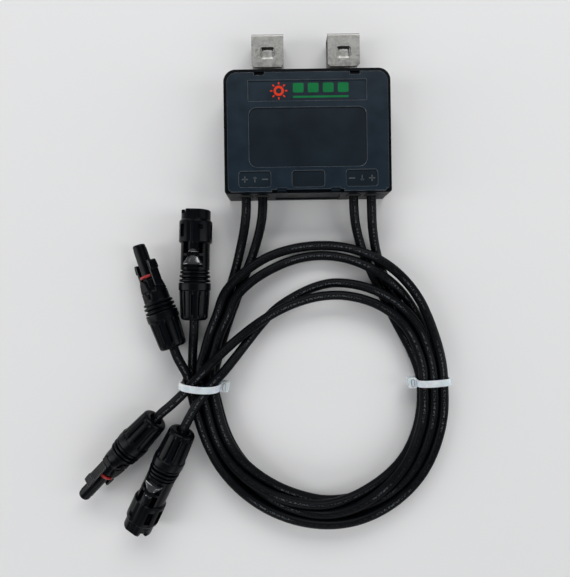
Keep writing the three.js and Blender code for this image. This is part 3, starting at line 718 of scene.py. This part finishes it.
def add_cover():
    """The cover plate with its sunk panels, edge notches and the tabs over the cable pairs."""
    outline = rounded(-48.8, -51.3, 48.8, 20.9, (2.4, 2.4, 6, 6), 12)
    plate = prism(outline, COVER_LOW, COVER_TOP)
    cuts = []
    for x0, y0, x1, y1, radius in PANELS.values():
        floor = COVER_TOP - RECESS_DEPTH
        cuts.append(prism(rounded(x0, y0, x1, y1, [radius] * 4, 10), floor, COVER_TOP + 1))
    notches = (
        (-32.2, -26, 19.1, 22), (25.9, 32.1, 19.1, 22), (-22.3, -19.2, -52, -50.1), (-13.2, 13.8, -52, -50.1),
        (19.5, 21.9, -52, -50.1), (-19.3, -13.1, -52, -49.3), (13.7, 19.6, -52, -49.3),
        (-49.5, -47.6, -52, -50.2), (47.2, 49.5, -52, -50.2),
    )
    for x0, x1, y0, y1 in notches:
        cuts.append(block((x0, y0, COVER_LOW - 1), (x1, y1, COVER_TOP + 1)))
    plate = bevelled(combined(plate, cuts, "DIFFERENCE"), 0.5, 3, edge_highlight_slot=1)
    sills = [block((x0, -50.9, COVER_LOW), (x1, -49.2, 24.6)) for x0, x1 in ((-19.1, -13.3), (13.9, 19.4))]
    skirt = prism(rounded(-48.95, -49.1, 48.95, 19, (1, 1, 4.2, 4.2)), 20.1, COVER_LOW + 0.1)
    hollow = prism(rounded(-46.75, -47.2, 46.75, 17.5, (1, 1, 3, 3)), 19, COVER_LOW + 0.05)
    skirt = combined(skirt, [hollow], "DIFFERENCE")
    body = merged([plate, skirt, *[bevelled(sill, 0.25) for sill in sills]])
    # The sunk floors below the label are a touch darker and smoother than the plate round them.
    for face in body.faces:
        middle = face.calc_center_median()
        sunk = abs(middle.z - (COVER_TOP - RECESS_DEPTH)) < 0.01 and face.normal.z > 0.9
        if sunk and middle.y < 0 and face.material_index == 0:
            face.material_index = 2
    add_piece(
        "cover_plate", body, [HOUSING, HOUSING_EDGE_HIGHLIGHT, PANEL], "root", ["front_cover"]
    )


def sun_disc(x, y, low, high):
    """A plain generic sun: a ring and eight short rays."""

    def circle(radius):
        turns = [TAU * k / 48 for k in range(48)]
        return [(x + radius * math.cos(turn), y + radius * math.sin(turn)) for turn in turns]

    hole = prism(circle(1.7), low - 1, high + 1)
    parts = [combined(prism(circle(3.1), low, high), [hole], "DIFFERENCE")]
    for ray in range(8):
        bar = rounded_box((3.8, -0.45, low), (5.3, 0.45, high), 0.3)
        parts.append(placed(bar, (x, y, 0), TAU * ray / 8, "Z"))
    return merged(parts)


def add_cover_marks():
    """Generic marks in place of the maker's: a sun, plain green bars, and plus and minus signs."""
    low = COVER_TOP - RECESS_DEPTH - 0.02
    high = low + MARK_HEIGHT
    add_piece("sun_mark", sun_disc(-17.3, 9.8, low, high), [ORANGE], "root")
    bars = [
        rounded_box((-8.7 + 9.1 * k, 8.6, low), (-2.2 + 9.1 * k, 14.4, high), 0.9) for k in range(4)
    ]
    bars.append(rounded_box((-8.7, 5.4, low), (25.1, 6.6, high), 0.55))
    add_piece("green_bars", merged(bars), [GREEN], "root")
    parts = []
    for x, across in ((-38.6, True), (-26.3, False), (26.5, False), (38.6, True)):
        parts.append(rounded_box((x - 1.9, -44.1, low), (x + 1.9, -43.4, high + 0.1), 0.2))
        if across:
            parts.append(rounded_box((x - 0.35, -45.65, low), (x + 0.35, -41.85, high + 0.1), 0.2))
    for x, turn in ((-32.5, 1), (32.6, -1)):
        tip = -43.75 + 2.1 * turn
        shaft = rounded_box((x - 0.3, -45.6, low), (x + 0.3, -41.9, high + 0.08), 0.15)
        head = prism([(x - 1.3, tip - 1.5 * turn), (x + 1.3, tip - 1.5 * turn), (x, tip)], low, high + 0.08)
        parts += [shaft, head]
    add_piece("polarity_marks", merged(parts), [MARK], "root")


def add_base():
    """The tray: rounded corners, cable holes, clip channels, side recesses and pockets in the back."""
    outline = rounded(-51.25, -51.75, 51.25, 24.45, (1.6, 1.6, 7.5, 7.5), 12)
    tray = prism(outline, 0, 22.5)
    cavity = prism(rounded(-49.25, -49.75, 49.25, 21.2, (1, 1, 4.5, 4.5)), 18, 24)
    inner = prism(rounded(-47.05, -47.55, 47.05, 19, (1, 1, 3, 3)), 4.5, 19)
    cuts = [cavity, inner]
    for side in (-1, 1):
        x = side * CLIP_X
        cuts.append(block((x - 10.5, 5.7, -1), (x + 10.5, 26, 2.7)))
        cuts.append(block((side * 50.1 - 2, -43, 20.3), (side * 50.1 + 2, -33, 22)))
        cuts.append(block((side * 51.6 - 0.8, -47.2, 5), (side * 51.6 + 0.8, -30, 15.5)))
        bore = [(1.7, 0), (1.7, SCREW_RADIUS), (4, SCREW_RADIUS), (4, 0)]
        for screw_x in (-CLIP_SCREW_X, CLIP_SCREW_X):
            cuts.append(upright(bore, 24, x + screw_x, CLIP_SCREW_Y))
    for x in EXIT_X.values():
        hole = turned([(-2, 0), (-2, 4.9), (6.5, 4.9), (6.5, 0)], 40)
        cuts.append(placed(hole, (x, HOUSING_BOTTOM, EXIT_Z), RIGHT_ANGLE, "Z"))
    cuts.append(block((-20.5, -52.5, 3), (20.5, -51.1, 19)))
    for column in range(5):
        x0 = -44 + 18 * column
        cuts.append(prism(rounded(x0, -44, x0 + 16, -2, (2, 2, 2, 2), 5), -1, 0.5))
    tray = bevelled(combined(tray, cuts, "DIFFERENCE"), 0.4, 3, edge_highlight_slot=1)
    lugs = []
    for x0, x1 in ((-32.4, -25.8), (25.7, 32.3)):
        lugs.append(rounded_box((x0, 22.2, 20.5), (x1, 24.2, 23.3), 0.5))
    for x0, x1 in ((-19.6, -12.8), (13.4, 19.9)):
        lugs.append(block((x0, -51.6, 19.5), (x1, -50.4, 23.4)))
    parts = [tray, *[bevelled(lug, 0.25) for lug in lugs]]
    for x, y in ((-38, 10), (38, 10)):
        parts.append(upright([(4, 1.7), (7.2, 1.7), (7.2, 3.4), (4, 3.4)], 32, x, y))
    add_piece("base_tray", merged(parts), [TRAY, TRAY_EDGE_HIGHLIGHT], "root", ["base_shell"])


def add_grommets():
    """A lipped rubber bush round each lead where it leaves the tray."""
    profile = [
        (-0.5, 3.1), (-0.7, 3.6), (-0.5, 4.3), (0.2, 4.6), (3.9, 4.6), (4.3, 5), (5.9, 5), (5.9, 3.1),
    ]
    for index, x in enumerate(EXIT_X.values(), 1):
        bush = placed(turned(profile, 48), (x, HOUSING_BOTTOM, EXIT_Z), RIGHT_ANGLE, "Z")
        add_piece(
            f"lipped_bush_{index}", bush, [RUBBER], "root", [f"cable_grommet_{index}"],
        )


def clip_side_view():
    """The bent sheet's outline with its Y along X and its Z along Y."""
    steps = 8
    low, high, sheet, mouth, web, leg_end, bend = 1.2, 13, 1.2, 30.3, 51.75, 6, 1.9
    outline = [(leg_end, low)]
    for corner_y, corner_z, start in ((web - bend, low + bend, -0.5), (web - bend, high - bend, 0)):
        for step in range(steps + 1):
            angle = math.pi * (start + 0.5 * step / steps)
            outline.append((corner_y + bend * math.cos(angle), corner_z + bend * math.sin(angle)))
    outline += [(mouth + 1.5, high), (mouth, high), (mouth, high - sheet)]
    inner = bend - sheet
    for corner_y, corner_z, start in ((web - bend, high - bend, 0.5), (web - bend, low + bend, 0)):
        for step in range(steps + 1):
            angle = math.pi * (start - 0.5 * step / steps)
            outline.append((corner_y + inner * math.cos(angle), corner_z + inner * math.sin(angle)))
    outline.append((leg_end, low + sheet))
    return outline


def clip_tongue():
    """The pressed-in spring tongue: a crowned strip that drops towards its root."""
    rows, columns = 12, 6
    outlines = []
    for row in range(rows + 1):
        share = row / rows
        drop = 0.7 + 0.45 * smooth_step(share / 0.3) + 0.35 * smooth_step((share - 0.75) / 0.25)
        top = []
        for column in range(columns + 1):
            across = 2 * column / columns - 1
            crown = 0.35 * (1 - across * across) * min(share / 0.3, 1)
            top.append((across * 3.5, 35.3 + 7.9 * share, 12.5 - drop + crown))
        outlines.append(top + [(x, y, z - 0.8) for x, y, z in reversed(top)])
    return skinned(outlines)


def add_clip(name, x):
    """A bent steel clip with cut corners at its mouth, a window, its tongue and the window's lips."""
    strip = prism(clip_side_view(), -CLIP_HALF_WIDTH, CLIP_HALF_WIDTH)
    # The outline's X is +Y of the part and its Y is +Z; the sheet's width runs along X.
    strip = moved(strip, Matrix(((0, 0, 1, 0), (1, 0, 0, 0), (0, 1, 0, 0), (0, 0, 0, 1))))
    cuts = [prism(rounded(-4.4, 35.6, 4.4, 43, (2.1, 2.1, 1.4, 1.4), 6), 11, 14)]
    lips = []
    for side in (-1, 1):
        cuts.append(prism([(side * 10.3, 30.1), (side * 8.3, 30.1), (side * 10.3, 32.1)][::side], 11, 14))
        bore = [(1, 0), (1, SCREW_RADIUS), (4, SCREW_RADIUS), (4, 0)]
        cuts.append(upright(bore, 24, side * CLIP_SCREW_X, CLIP_SCREW_Y))
        lip = rounded_box((side * 3.95 - 0.35, 36.1, 11.2), (side * 3.95 + 0.35, 42.4, 12.5), 0.3)
        lips.append(bevelled(lip, 0.12))
    strip = bevelled(combined(strip, cuts, "DIFFERENCE"), 0.16, 2)
    clip = moved(merged([strip, clip_tongue(), *lips]), Matrix.Translation((x, 0, 0)))
    add_piece(f"bent_clip_{name}", clip, [STEEL], "root", [f"frame_clip_{name}"])


add_cover()
add_cover_marks()
add_base()
add_grommets()
add_clip("left", -CLIP_X)
add_clip("right", CLIP_X)

# -------- connectors

FLUTES = 12
NUT_LENGTH = 23.8
BARREL_RADIUS = 9.1
BAND_RADIUS = 10.4


def add_connector_piece(
    name, piece, cad_node, bm, materials, body="root", smooth=ROUND_ANGLE,
):
    """Places a piece modelled about its connector's own axis, instead of one CAD node."""
    add_piece(
        f"{name}_{piece}", moved(bm, connector_matrix(name)), materials, body, [f"{name}_{cad_node}"],
        smooth,
    )


def fluted(x, radius, angle):
    """The nut's grip: flat panels between narrow grooves, which fade out at both ends."""
    fade = smooth_step((x - 1.6) / 2.2) * smooth_step((18.4 - x) / 0.9)
    phase = (angle * FLUTES / TAU) % 1
    to_groove = abs(phase - 0.5) * 2
    groove = smooth_step((to_groove - 0.74) / 0.2)
    crown = 0.12 * math.cos(math.pi * (phase - 0.5))
    return radius - fade * (0.85 * groove - crown)


def add_nut(name):
    """Gland nut with its fluted grip, a plain front band and a rounded rear."""
    outside = [(0.15, 4.9), (0, 5.6), (0.1, 6.9), (0.45, 7.7), (1.1, 8.3), (1.6, 8.5)]
    for step in range(1, 15):
        share = step / 14
        outside.append((1.6 + 16.8 * share, 8.5 + 1.0 * share))
    outside += [(18.7, 9.55), (19.0, 9.95), (19.4, 10.1), (23.4, 10.1), (23.7, 9.95), (NUT_LENGTH, 9.7)]
    inside = [(NUT_LENGTH, 7.8), (10, 7.75), (9.5, 6.3), (2.8, 6.0), (1.6, 4.5), (0.5, 4.4)]

    def shape(x, radius, angle):
        return fluted(x, radius, angle) if radius > 7.9 and x > 1.2 else radius

    nut = turned(outside + inside, 144, shape)
    add_connector_piece(name, "fluted_nut", "gland_nut", nut, [CONNECTOR], f"{name}_nut")


def add_cage(name):
    """The clamp cage's fingers, seen in the nut's rear mouth round the cable."""
    fingers, steps = 8, 5
    profile = [(1.7, 3.5), (2.0, 4.3), (3.5, 5.6), (6.2, 5.6), (6.2, 3.5)]
    parts = []
    for finger in range(fingers):
        outlines = []
        for step in range(steps + 1):
            angle = TAU / fingers * (finger + 0.8 * step / steps)
            outlines.append([(x, r * math.cos(angle), r * math.sin(angle)) for x, r in profile])
        parts.append(skinned(outlines))
    parts.append(turned([(6.1, 3.5), (6.1, 5.6), (9.6, 5.6), (9.6, 3.5)], 48))
    add_connector_piece(
        name, "finger_cage", "clamp_cage", merged(parts), [CONNECTOR], f"{name}_cage", smooth=EDGE_ANGLE,
    )


def thread_profile():
    """The stub's thread, drawn as rings one pitch apart."""
    points = [(9.9, 5.5), (9.9, 6.9)]
    x = 10.2
    while x < 23:
        points += [(x, 6.9), (x + 0.35, 7.35), (x + 0.65, 7.35), (x + 1.0, 6.9)]
        x += 1.5
    return points + [(24.2, 6.9)]


def collar_rings(body_radius):
    """The flange in front of the nut: three rounded ribs with grooves between them."""
    points = []
    for start, height in ((24.2, 9.8), (27.0, 9.7), (29.5, 9.3)):
        points += [
            (start, height - 1.0), (start + 0.15, height - 0.3), (start + 0.5, height),
            (start + 1.3, height), (start + 1.65, height - 0.3), (start + 1.8, height - 1.0),
            (start + 1.9, 8.1), (start + 2.3, 8.1),
        ]
    return points + [(32.0, body_radius)]


def pocket(x0, x1, y, half, depth, radius):
    """A box that sinks into a round body at height radius, on its upper side."""
    return block((x0, y - half, radius - depth), (x1, y + half, radius + 4))


def around(bm, angle):
    return moved(bm, Matrix.Rotation(angle, 4, "X"))


def barrel_section(x, radius, angle):
    """Round with a flat on the upper and lower sides."""
    flat = radius - 0.75
    up = abs(math.sin(angle))
    return min(radius, flat / up) if up > 0.5 and x > 31.5 else radius


def arch(x, half, base, top, power, steps):
    """An outline across a connector that rises from base to top in its middle."""
    outline = []
    for step in range(steps + 1):
        angle = math.pi * step / steps
        outline.append((x, half * math.cos(angle), base + (top - base) * math.sin(angle) ** power))
    return outline


def gloss_dome(x0, x1, wide, narrow, top):
    """A polished bell-shaped hump that narrows and slopes down towards the connector's tip."""
    rows = 10
    outlines = []
    for row in range(rows + 1):
        share = row / rows
        half = wide + (narrow - wide) * smooth_step(share)
        rise = 8.3 + (top - 8.3) * smooth_step(share / 0.14) * (1 - max(share - 0.14, 0) / 0.86)
        outlines.append(arch(x0 + (x1 - x0) * share, half, 6.6, rise, 0.5, 12))
    dome = skinned(outlines)
    for face in dome.faces:
        face.material_index = 2
    return dome


def seam_line(x0, x1, z):
    """The fine broken seam along the middle of a barrel's upper side."""
    parts = []
    count = round((x1 - x0) / 1.6)
    for k in range(count):
        x = x0 + (x1 - x0) * k / count
        height = z + 1.05 if 48.4 < x < 64 else z
        parts.append(block((x, -0.09, height - 0.3), (x + 0.7, 0.09, height + 0.06)))
    seam = merged(parts)
    # The dashes take the edge slot, whose lighter colour is a painted highlight.
    for face in seam.faces:
        face.material_index = 1
    return seam


def barrel_rib():
    """The rounded ridge along the upper side, highest over the wide band."""
    stations = (
        (44.0, 2.7, 8.3), (44.3, 2.9, 8.75), (48.5, 2.9, 8.8), (49.6, 2.9, 9.85), (62.4, 2.9, 9.9),
        (63.4, 2.7, 8.85), (69.0, 2.6, 8.7), (69.6, 2.4, 8.3),
    )
    return skinned([arch(x, half, 7.9, top, 0.6, 8) for x, half, top in stations])


def add_barrel_housing(name):
    """The socket half: thread, ribs, a flat-sided barrel with windows, a ridge and a stepped mouth."""
    profile = [
        *thread_profile(), *collar_rings(BARREL_RADIUS),
        *[(x, BARREL_RADIUS) for x in (33, 36, 40, 44, 48.6)], (49.4, 10.1),
        *[(x, BAND_RADIUS) for x in (49.9, 54, 58, 62.2)], (62.8, 10.2), (63.6, 9.4),
        (64, 9.2), (67, 9.2), (69.4, 9.2), (69.8, 9.0), (70, 8.7), (70, 7.2),
        (42, 7.2), (42, 2.3), (33.3, 2.3), (33.3, 3.2), (16.9, 3.2), (16.9, 5.5),
    ]
    body = turned(profile, 96, barrel_section)
    cuts = []
    for upper in (0, math.pi):
        for side in (-1, 1):
            cuts.append(around(pocket(33.6, 40.6, side * 4.6, 1.7, 3.2, BARREL_RADIUS), upper))
            cuts.append(around(pocket(42.2, 49.0, side * 4.75, 1.45, 4.4, BARREL_RADIUS), upper))
        cuts.append(around(pocket(57.2, 60.2, -4.7, 1.35, 2.2, BAND_RADIUS), upper))
        cuts.append(around(block((52.4, 5.7, 4.0), (60.4, 8.4, 9.5)), upper))
        cuts.append(around(block((67.4, 5.2, 3.0), (71, 11, 9.5)), upper))
    for side in (-1, 1):
        cuts.append(block((51.5, side * 9.5 - 1.8, -3.2), (61, side * 9.5 + 1.8, 3.2)))
    body = combined(body, cuts, "DIFFERENCE")
    body = bevelled(body, 0.14, 2, math.radians(50), edge_highlight_slot=1)
    parts = [body]
    for upper in (0, math.pi):
        parts.append(around(barrel_rib(), upper))
        parts.append(around(gloss_dome(34.6, 40.9, 6.2, 3.6, 10.0), upper))
        parts.append(around(gloss_dome(42.6, 45.6, 3.3, 2.1, 10.0), upper))
        parts.append(around(seam_line(46.4, 68.5, 8.78), upper))
    add_connector_piece(
        name, "windowed_barrel", "housing", merged(parts), [CONNECTOR, CONNECTOR_EDGE_HIGHLIGHT, CONNECTOR_GLOSS],
    )


def probe_section(x, radius, angle):
    """Round, with a flat above and below on the part between the collar and the probe."""
    if x < 32 or x > 46.5 or radius < 5.5:
        return radius
    up = abs(math.sin(angle))
    return min(radius, (radius - 1.1) / up) if up > 0.5 else radius


def add_probe_housing(name):
    """The plug half: thread, ribs, a shouldered body and the long round probe."""
    profile = [
        *thread_profile(), *collar_rings(8.2),
        (33, 8.2), (35, 8.2), (37.4, 8.1), (38.6, 7.4), (39.2, 6.4), (40, 6.2), (45.4, 6.2), (45.8, 6.0),
        (46, 5.6), (46, 4.15), (47, 4.0), (56, 4.0), (67.6, 4.0), (68.4, 3.9), (69, 3.6), (69, 3.2),
        (16.9, 3.2), (16.9, 5.5),
    ]
    body = turned(profile, 96, probe_section)
    cuts = []
    for angle in (0, math.pi):
        cuts.append(around(pocket(33.2, 36.6, 3.9, 1.3, 0.8, 7.1), angle))
        cuts.append(around(pocket(33.2, 36.6, -3.9, 1.3, 0.8, 7.1), angle))
    body = combined(body, cuts, "DIFFERENCE")
    body = bevelled(body, 0.12, 2, math.radians(50), edge_highlight_slot=1)
    parts = [body]
    for angle in (0, math.pi):
        outline = [(38.3, -4.4), (38.3, 4.4), (44.2, 2.6), (45.6, 1.2), (45.6, -1.2), (44.2, -2.6)]
        parts.append(around(bevelled(prism(outline, 4.6, 7.0), 0.5, 3), angle))
        wedge = prism([(33.4, -2.6), (33.4, 2.6), (38.0, 0.5), (38.0, -0.5)], 6.0, 7.7)
        parts.append(around(bevelled(wedge, 0.45, 3), angle))
    for side in (-1, 1):
        cheek = block((36.4, side * 7.15 - 1.25, -3.6), (40.1, side * 7.15 + 1.25, 3.6))
        parts.append(bevelled(cheek, 0.5, 3))
    for rib in range(4):
        angle = TAU * (rib + 0.5) / 4
        fin = block((47.0, -0.35, 3.5), (66.5, 0.35, 4.25))
        parts.append(around(bevelled(fin, 0.12), angle))
    add_connector_piece(name, "shouldered_plug", "housing", merged(parts), [CONNECTOR, CONNECTOR_EDGE_HIGHLIGHT])


def add_latch(name, side_name, side):
    """A sprung arm with a barbed, rounded head."""
    outline = [
        (40.5, 6.75), (43, 6.7), (51, 6.7), (56.2, 6.7), (57.0, 6.95), (57.5, 7.5), (57.4, 8.1), (56.6, 8.75),
        (53.2, 9.25), (52.2, 9.3), (51.7, 9.1), (51.6, 8.3), (51.0, 8.2), (43, 8.2), (40.5, 8.3),
    ]
    arm = bevelled(prism(outline, -3, 3), 0.35, 3, math.radians(50), edge_highlight_slot=1)
    thumb = bevelled(rounded_box((53.0, 7.6, -2.2), (56.6, 8.95, 2.2), 0.5), 0.3, 2)
    whole = merged([arm, thumb])
    if side < 0:
        whole = around(whole, math.pi)
    latch = f"latch_{side_name}"
    add_connector_piece(
        name, f"latch_arm_{side_name}", latch, whole, [CONNECTOR, CONNECTOR_EDGE_HIGHLIGHT], f"{name}_{latch}",
    )


def add_seal_ring(name):
    """The red ring at the probe's root, round in section."""
    profile = []
    for step in range(16):
        angle = TAU * step / 16
        profile.append((48 + 0.95 * math.sin(angle), 4.95 + 0.9 * math.cos(angle)))
    ring = turned(profile, 64)
    add_connector_piece(name, "red_ring", "o_ring", ring, [RED], smooth=EDGE_ANGLE)


def add_pin(name):
    """The metal pin in the middle of the socket, with a rounded nose and a spring groove."""
    profile = [
        (17.8, 0), (17.8, 2.6), (18.1, 2.7), (33, 2.7), (33, 2.0), (46, 2.0), (46.3, 1.8), (47.2, 1.8),
        (47.5, 2.0), (56, 2.0), (57.1, 1.7), (57.8, 1.0), (58, 0),
    ]
    pin = turned(profile, 40, closed=False)
    add_connector_piece(
        name, "turned_pin", "pin_contact", pin, [BRASS], smooth=EDGE_ANGLE,
    )


def add_connector(name):
    add_nut(name)
    add_cage(name)
    if CONNECTORS[name]["kind"] == "barrel":
        add_barrel_housing(name)
        add_pin(name)
    else:
        add_probe_housing(name)
        add_seal_ring(name)
        add_latch(name, "left", 1)
        add_latch(name, "right", -1)


for connector in CONNECTORS:
    add_connector(connector)

# -------- cable ties


def strap_loop(half, height, corner, bow):
    """A nylon strap round the bundle: a rounded loop, bowed along the cables as it crosses the top."""
    thick, width = 1.2, 4.3
    inner = rounded(-half, thick, half, height + thick, [corner] * 4, 10)
    outer = rounded(-half - thick, 0, half + thick, height + 2 * thick, [corner + thick] * 4, 10)

    def dense(outline):
        points = []
        for (ax, az), (bx, bz) in zip(outline, outline[1:] + outline[:1]):
            cuts = max(1, round(math.hypot(bx - ax, bz - az) / 1.5))
            points += [(ax + (bx - ax) * k / cuts, az + (bz - az) * k / cuts) for k in range(cuts)]
        return points

    inner, outer = dense(inner), dense(outer)
    bm = bmesh.new()
    rows = []
    count = 120
    for outline, offset in ((outer, -0.5), (outer, 0.5), (inner, 0.5), (inner, -0.5)):
        row = []
        for k in range(count):
            x, z = outline[round(k * len(outline) / count) % len(outline)]
            lean = bow * math.cos(0.5 * math.pi * x / (half + thick)) * smooth_step(z / height)
            row.append(bm.verts.new((x, offset * width + lean, z)))
        rows.append(row)
    for first, second in zip(rows, rows[1:] + rows[:1]):
        for k in range(count):
            after = (k + 1) % count
            bm.faces.new((first[k], first[after], second[after], second[k]))
    return bevelled(bm, 0.3, 3, math.radians(50))


def add_tie(name, place, turn, half, height, corner, head_side, bow):
    """The strap, its square rounded head with its pawl slot, and the cut end of the tail."""
    near, far = sorted((head_side * (half + 0.5), head_side * (half + 6.2)))
    low = 0.35 * height
    head = rounded_box((near, -3.3, low), (far, 3.3, low + 6.2), 1.3, 6)
    middle = (near + far) / 2
    slot = block((middle - 0.9, -2.3, low + 5.4), (middle + 0.9, 2.3, low + 8))
    head = bevelled(combined(head, [slot], "DIFFERENCE"), 0.7, 4)
    tail = bevelled(block((middle - 0.6, -2.1, low + 5.2), (middle + 0.6, 2.1, low + 6.9)), 0.3, 2)
    whole = merged([strap_loop(half, height, corner, bow), head, tail])
    add_piece(
        f"nylon_strap_{name}", placed(whole, place, turn, "Z"), [NYLON], "root",
        [f"cable_tie_{name}"], math.radians(50),
    )


add_tie("left", (-69.6, -170.7, 0.1), -0.1, 11.7, 20.1, 4.5, 1, -1.3)
add_tie("right", (78.8, -171, 0.1), 0.06, 9.7, 13.3, 2.5, -1, -0.5)

# -------- studio


def add_floor():
    bm = bmesh.new()
    bmesh.ops.create_grid(bm, x_segments=1, y_segments=1, size=6)
    mesh = as_mesh("studio_floor", bm)
    mesh.materials.append(FLOOR)
    floor = add_object("studio_floor", mesh)
    floor.location = (0, 0, -0.0003)


def add_light(name, place, target, size, power):
    data = bpy.data.lights.new(name, "AREA")
    data.shape = "RECTANGLE"
    data.size, data.size_y = size
    data.energy = power
    light = add_object(name, data)
    light.location = place
    direction = Vector(target) - Vector(place)
    light.rotation_euler = direction.to_track_quat("-Z", "Y").to_euler()


def add_world():
    world = bpy.data.worlds.new("studio_world")
    world.use_nodes = True
    background = world.node_tree.nodes["Background"]
    background.inputs["Color"].default_value = (0.95, 0.97, 1, 1)
    background.inputs["Strength"].default_value = 0.25
    bpy.context.scene.world = world


MIDDLE = (0, -0.1, 0)
add_floor()
add_world()
add_light("window_light", (0.1, 1.2, 0.95), MIDDLE, (1.8, 0.7), 17)
add_light("left_light", (-1.25, -0.2, 0.55), MIDDLE, (0.5, 1.6), 8)
add_light("right_light", (1.25, -0.2, 0.55), MIDDLE, (0.5, 1.6), 7)
add_light("rear_light", (0, -1.35, 0.6), MIDDLE, (1.6, 0.5), 4.5)
bpy.context.scene.view_settings.view_transform = "Standard"
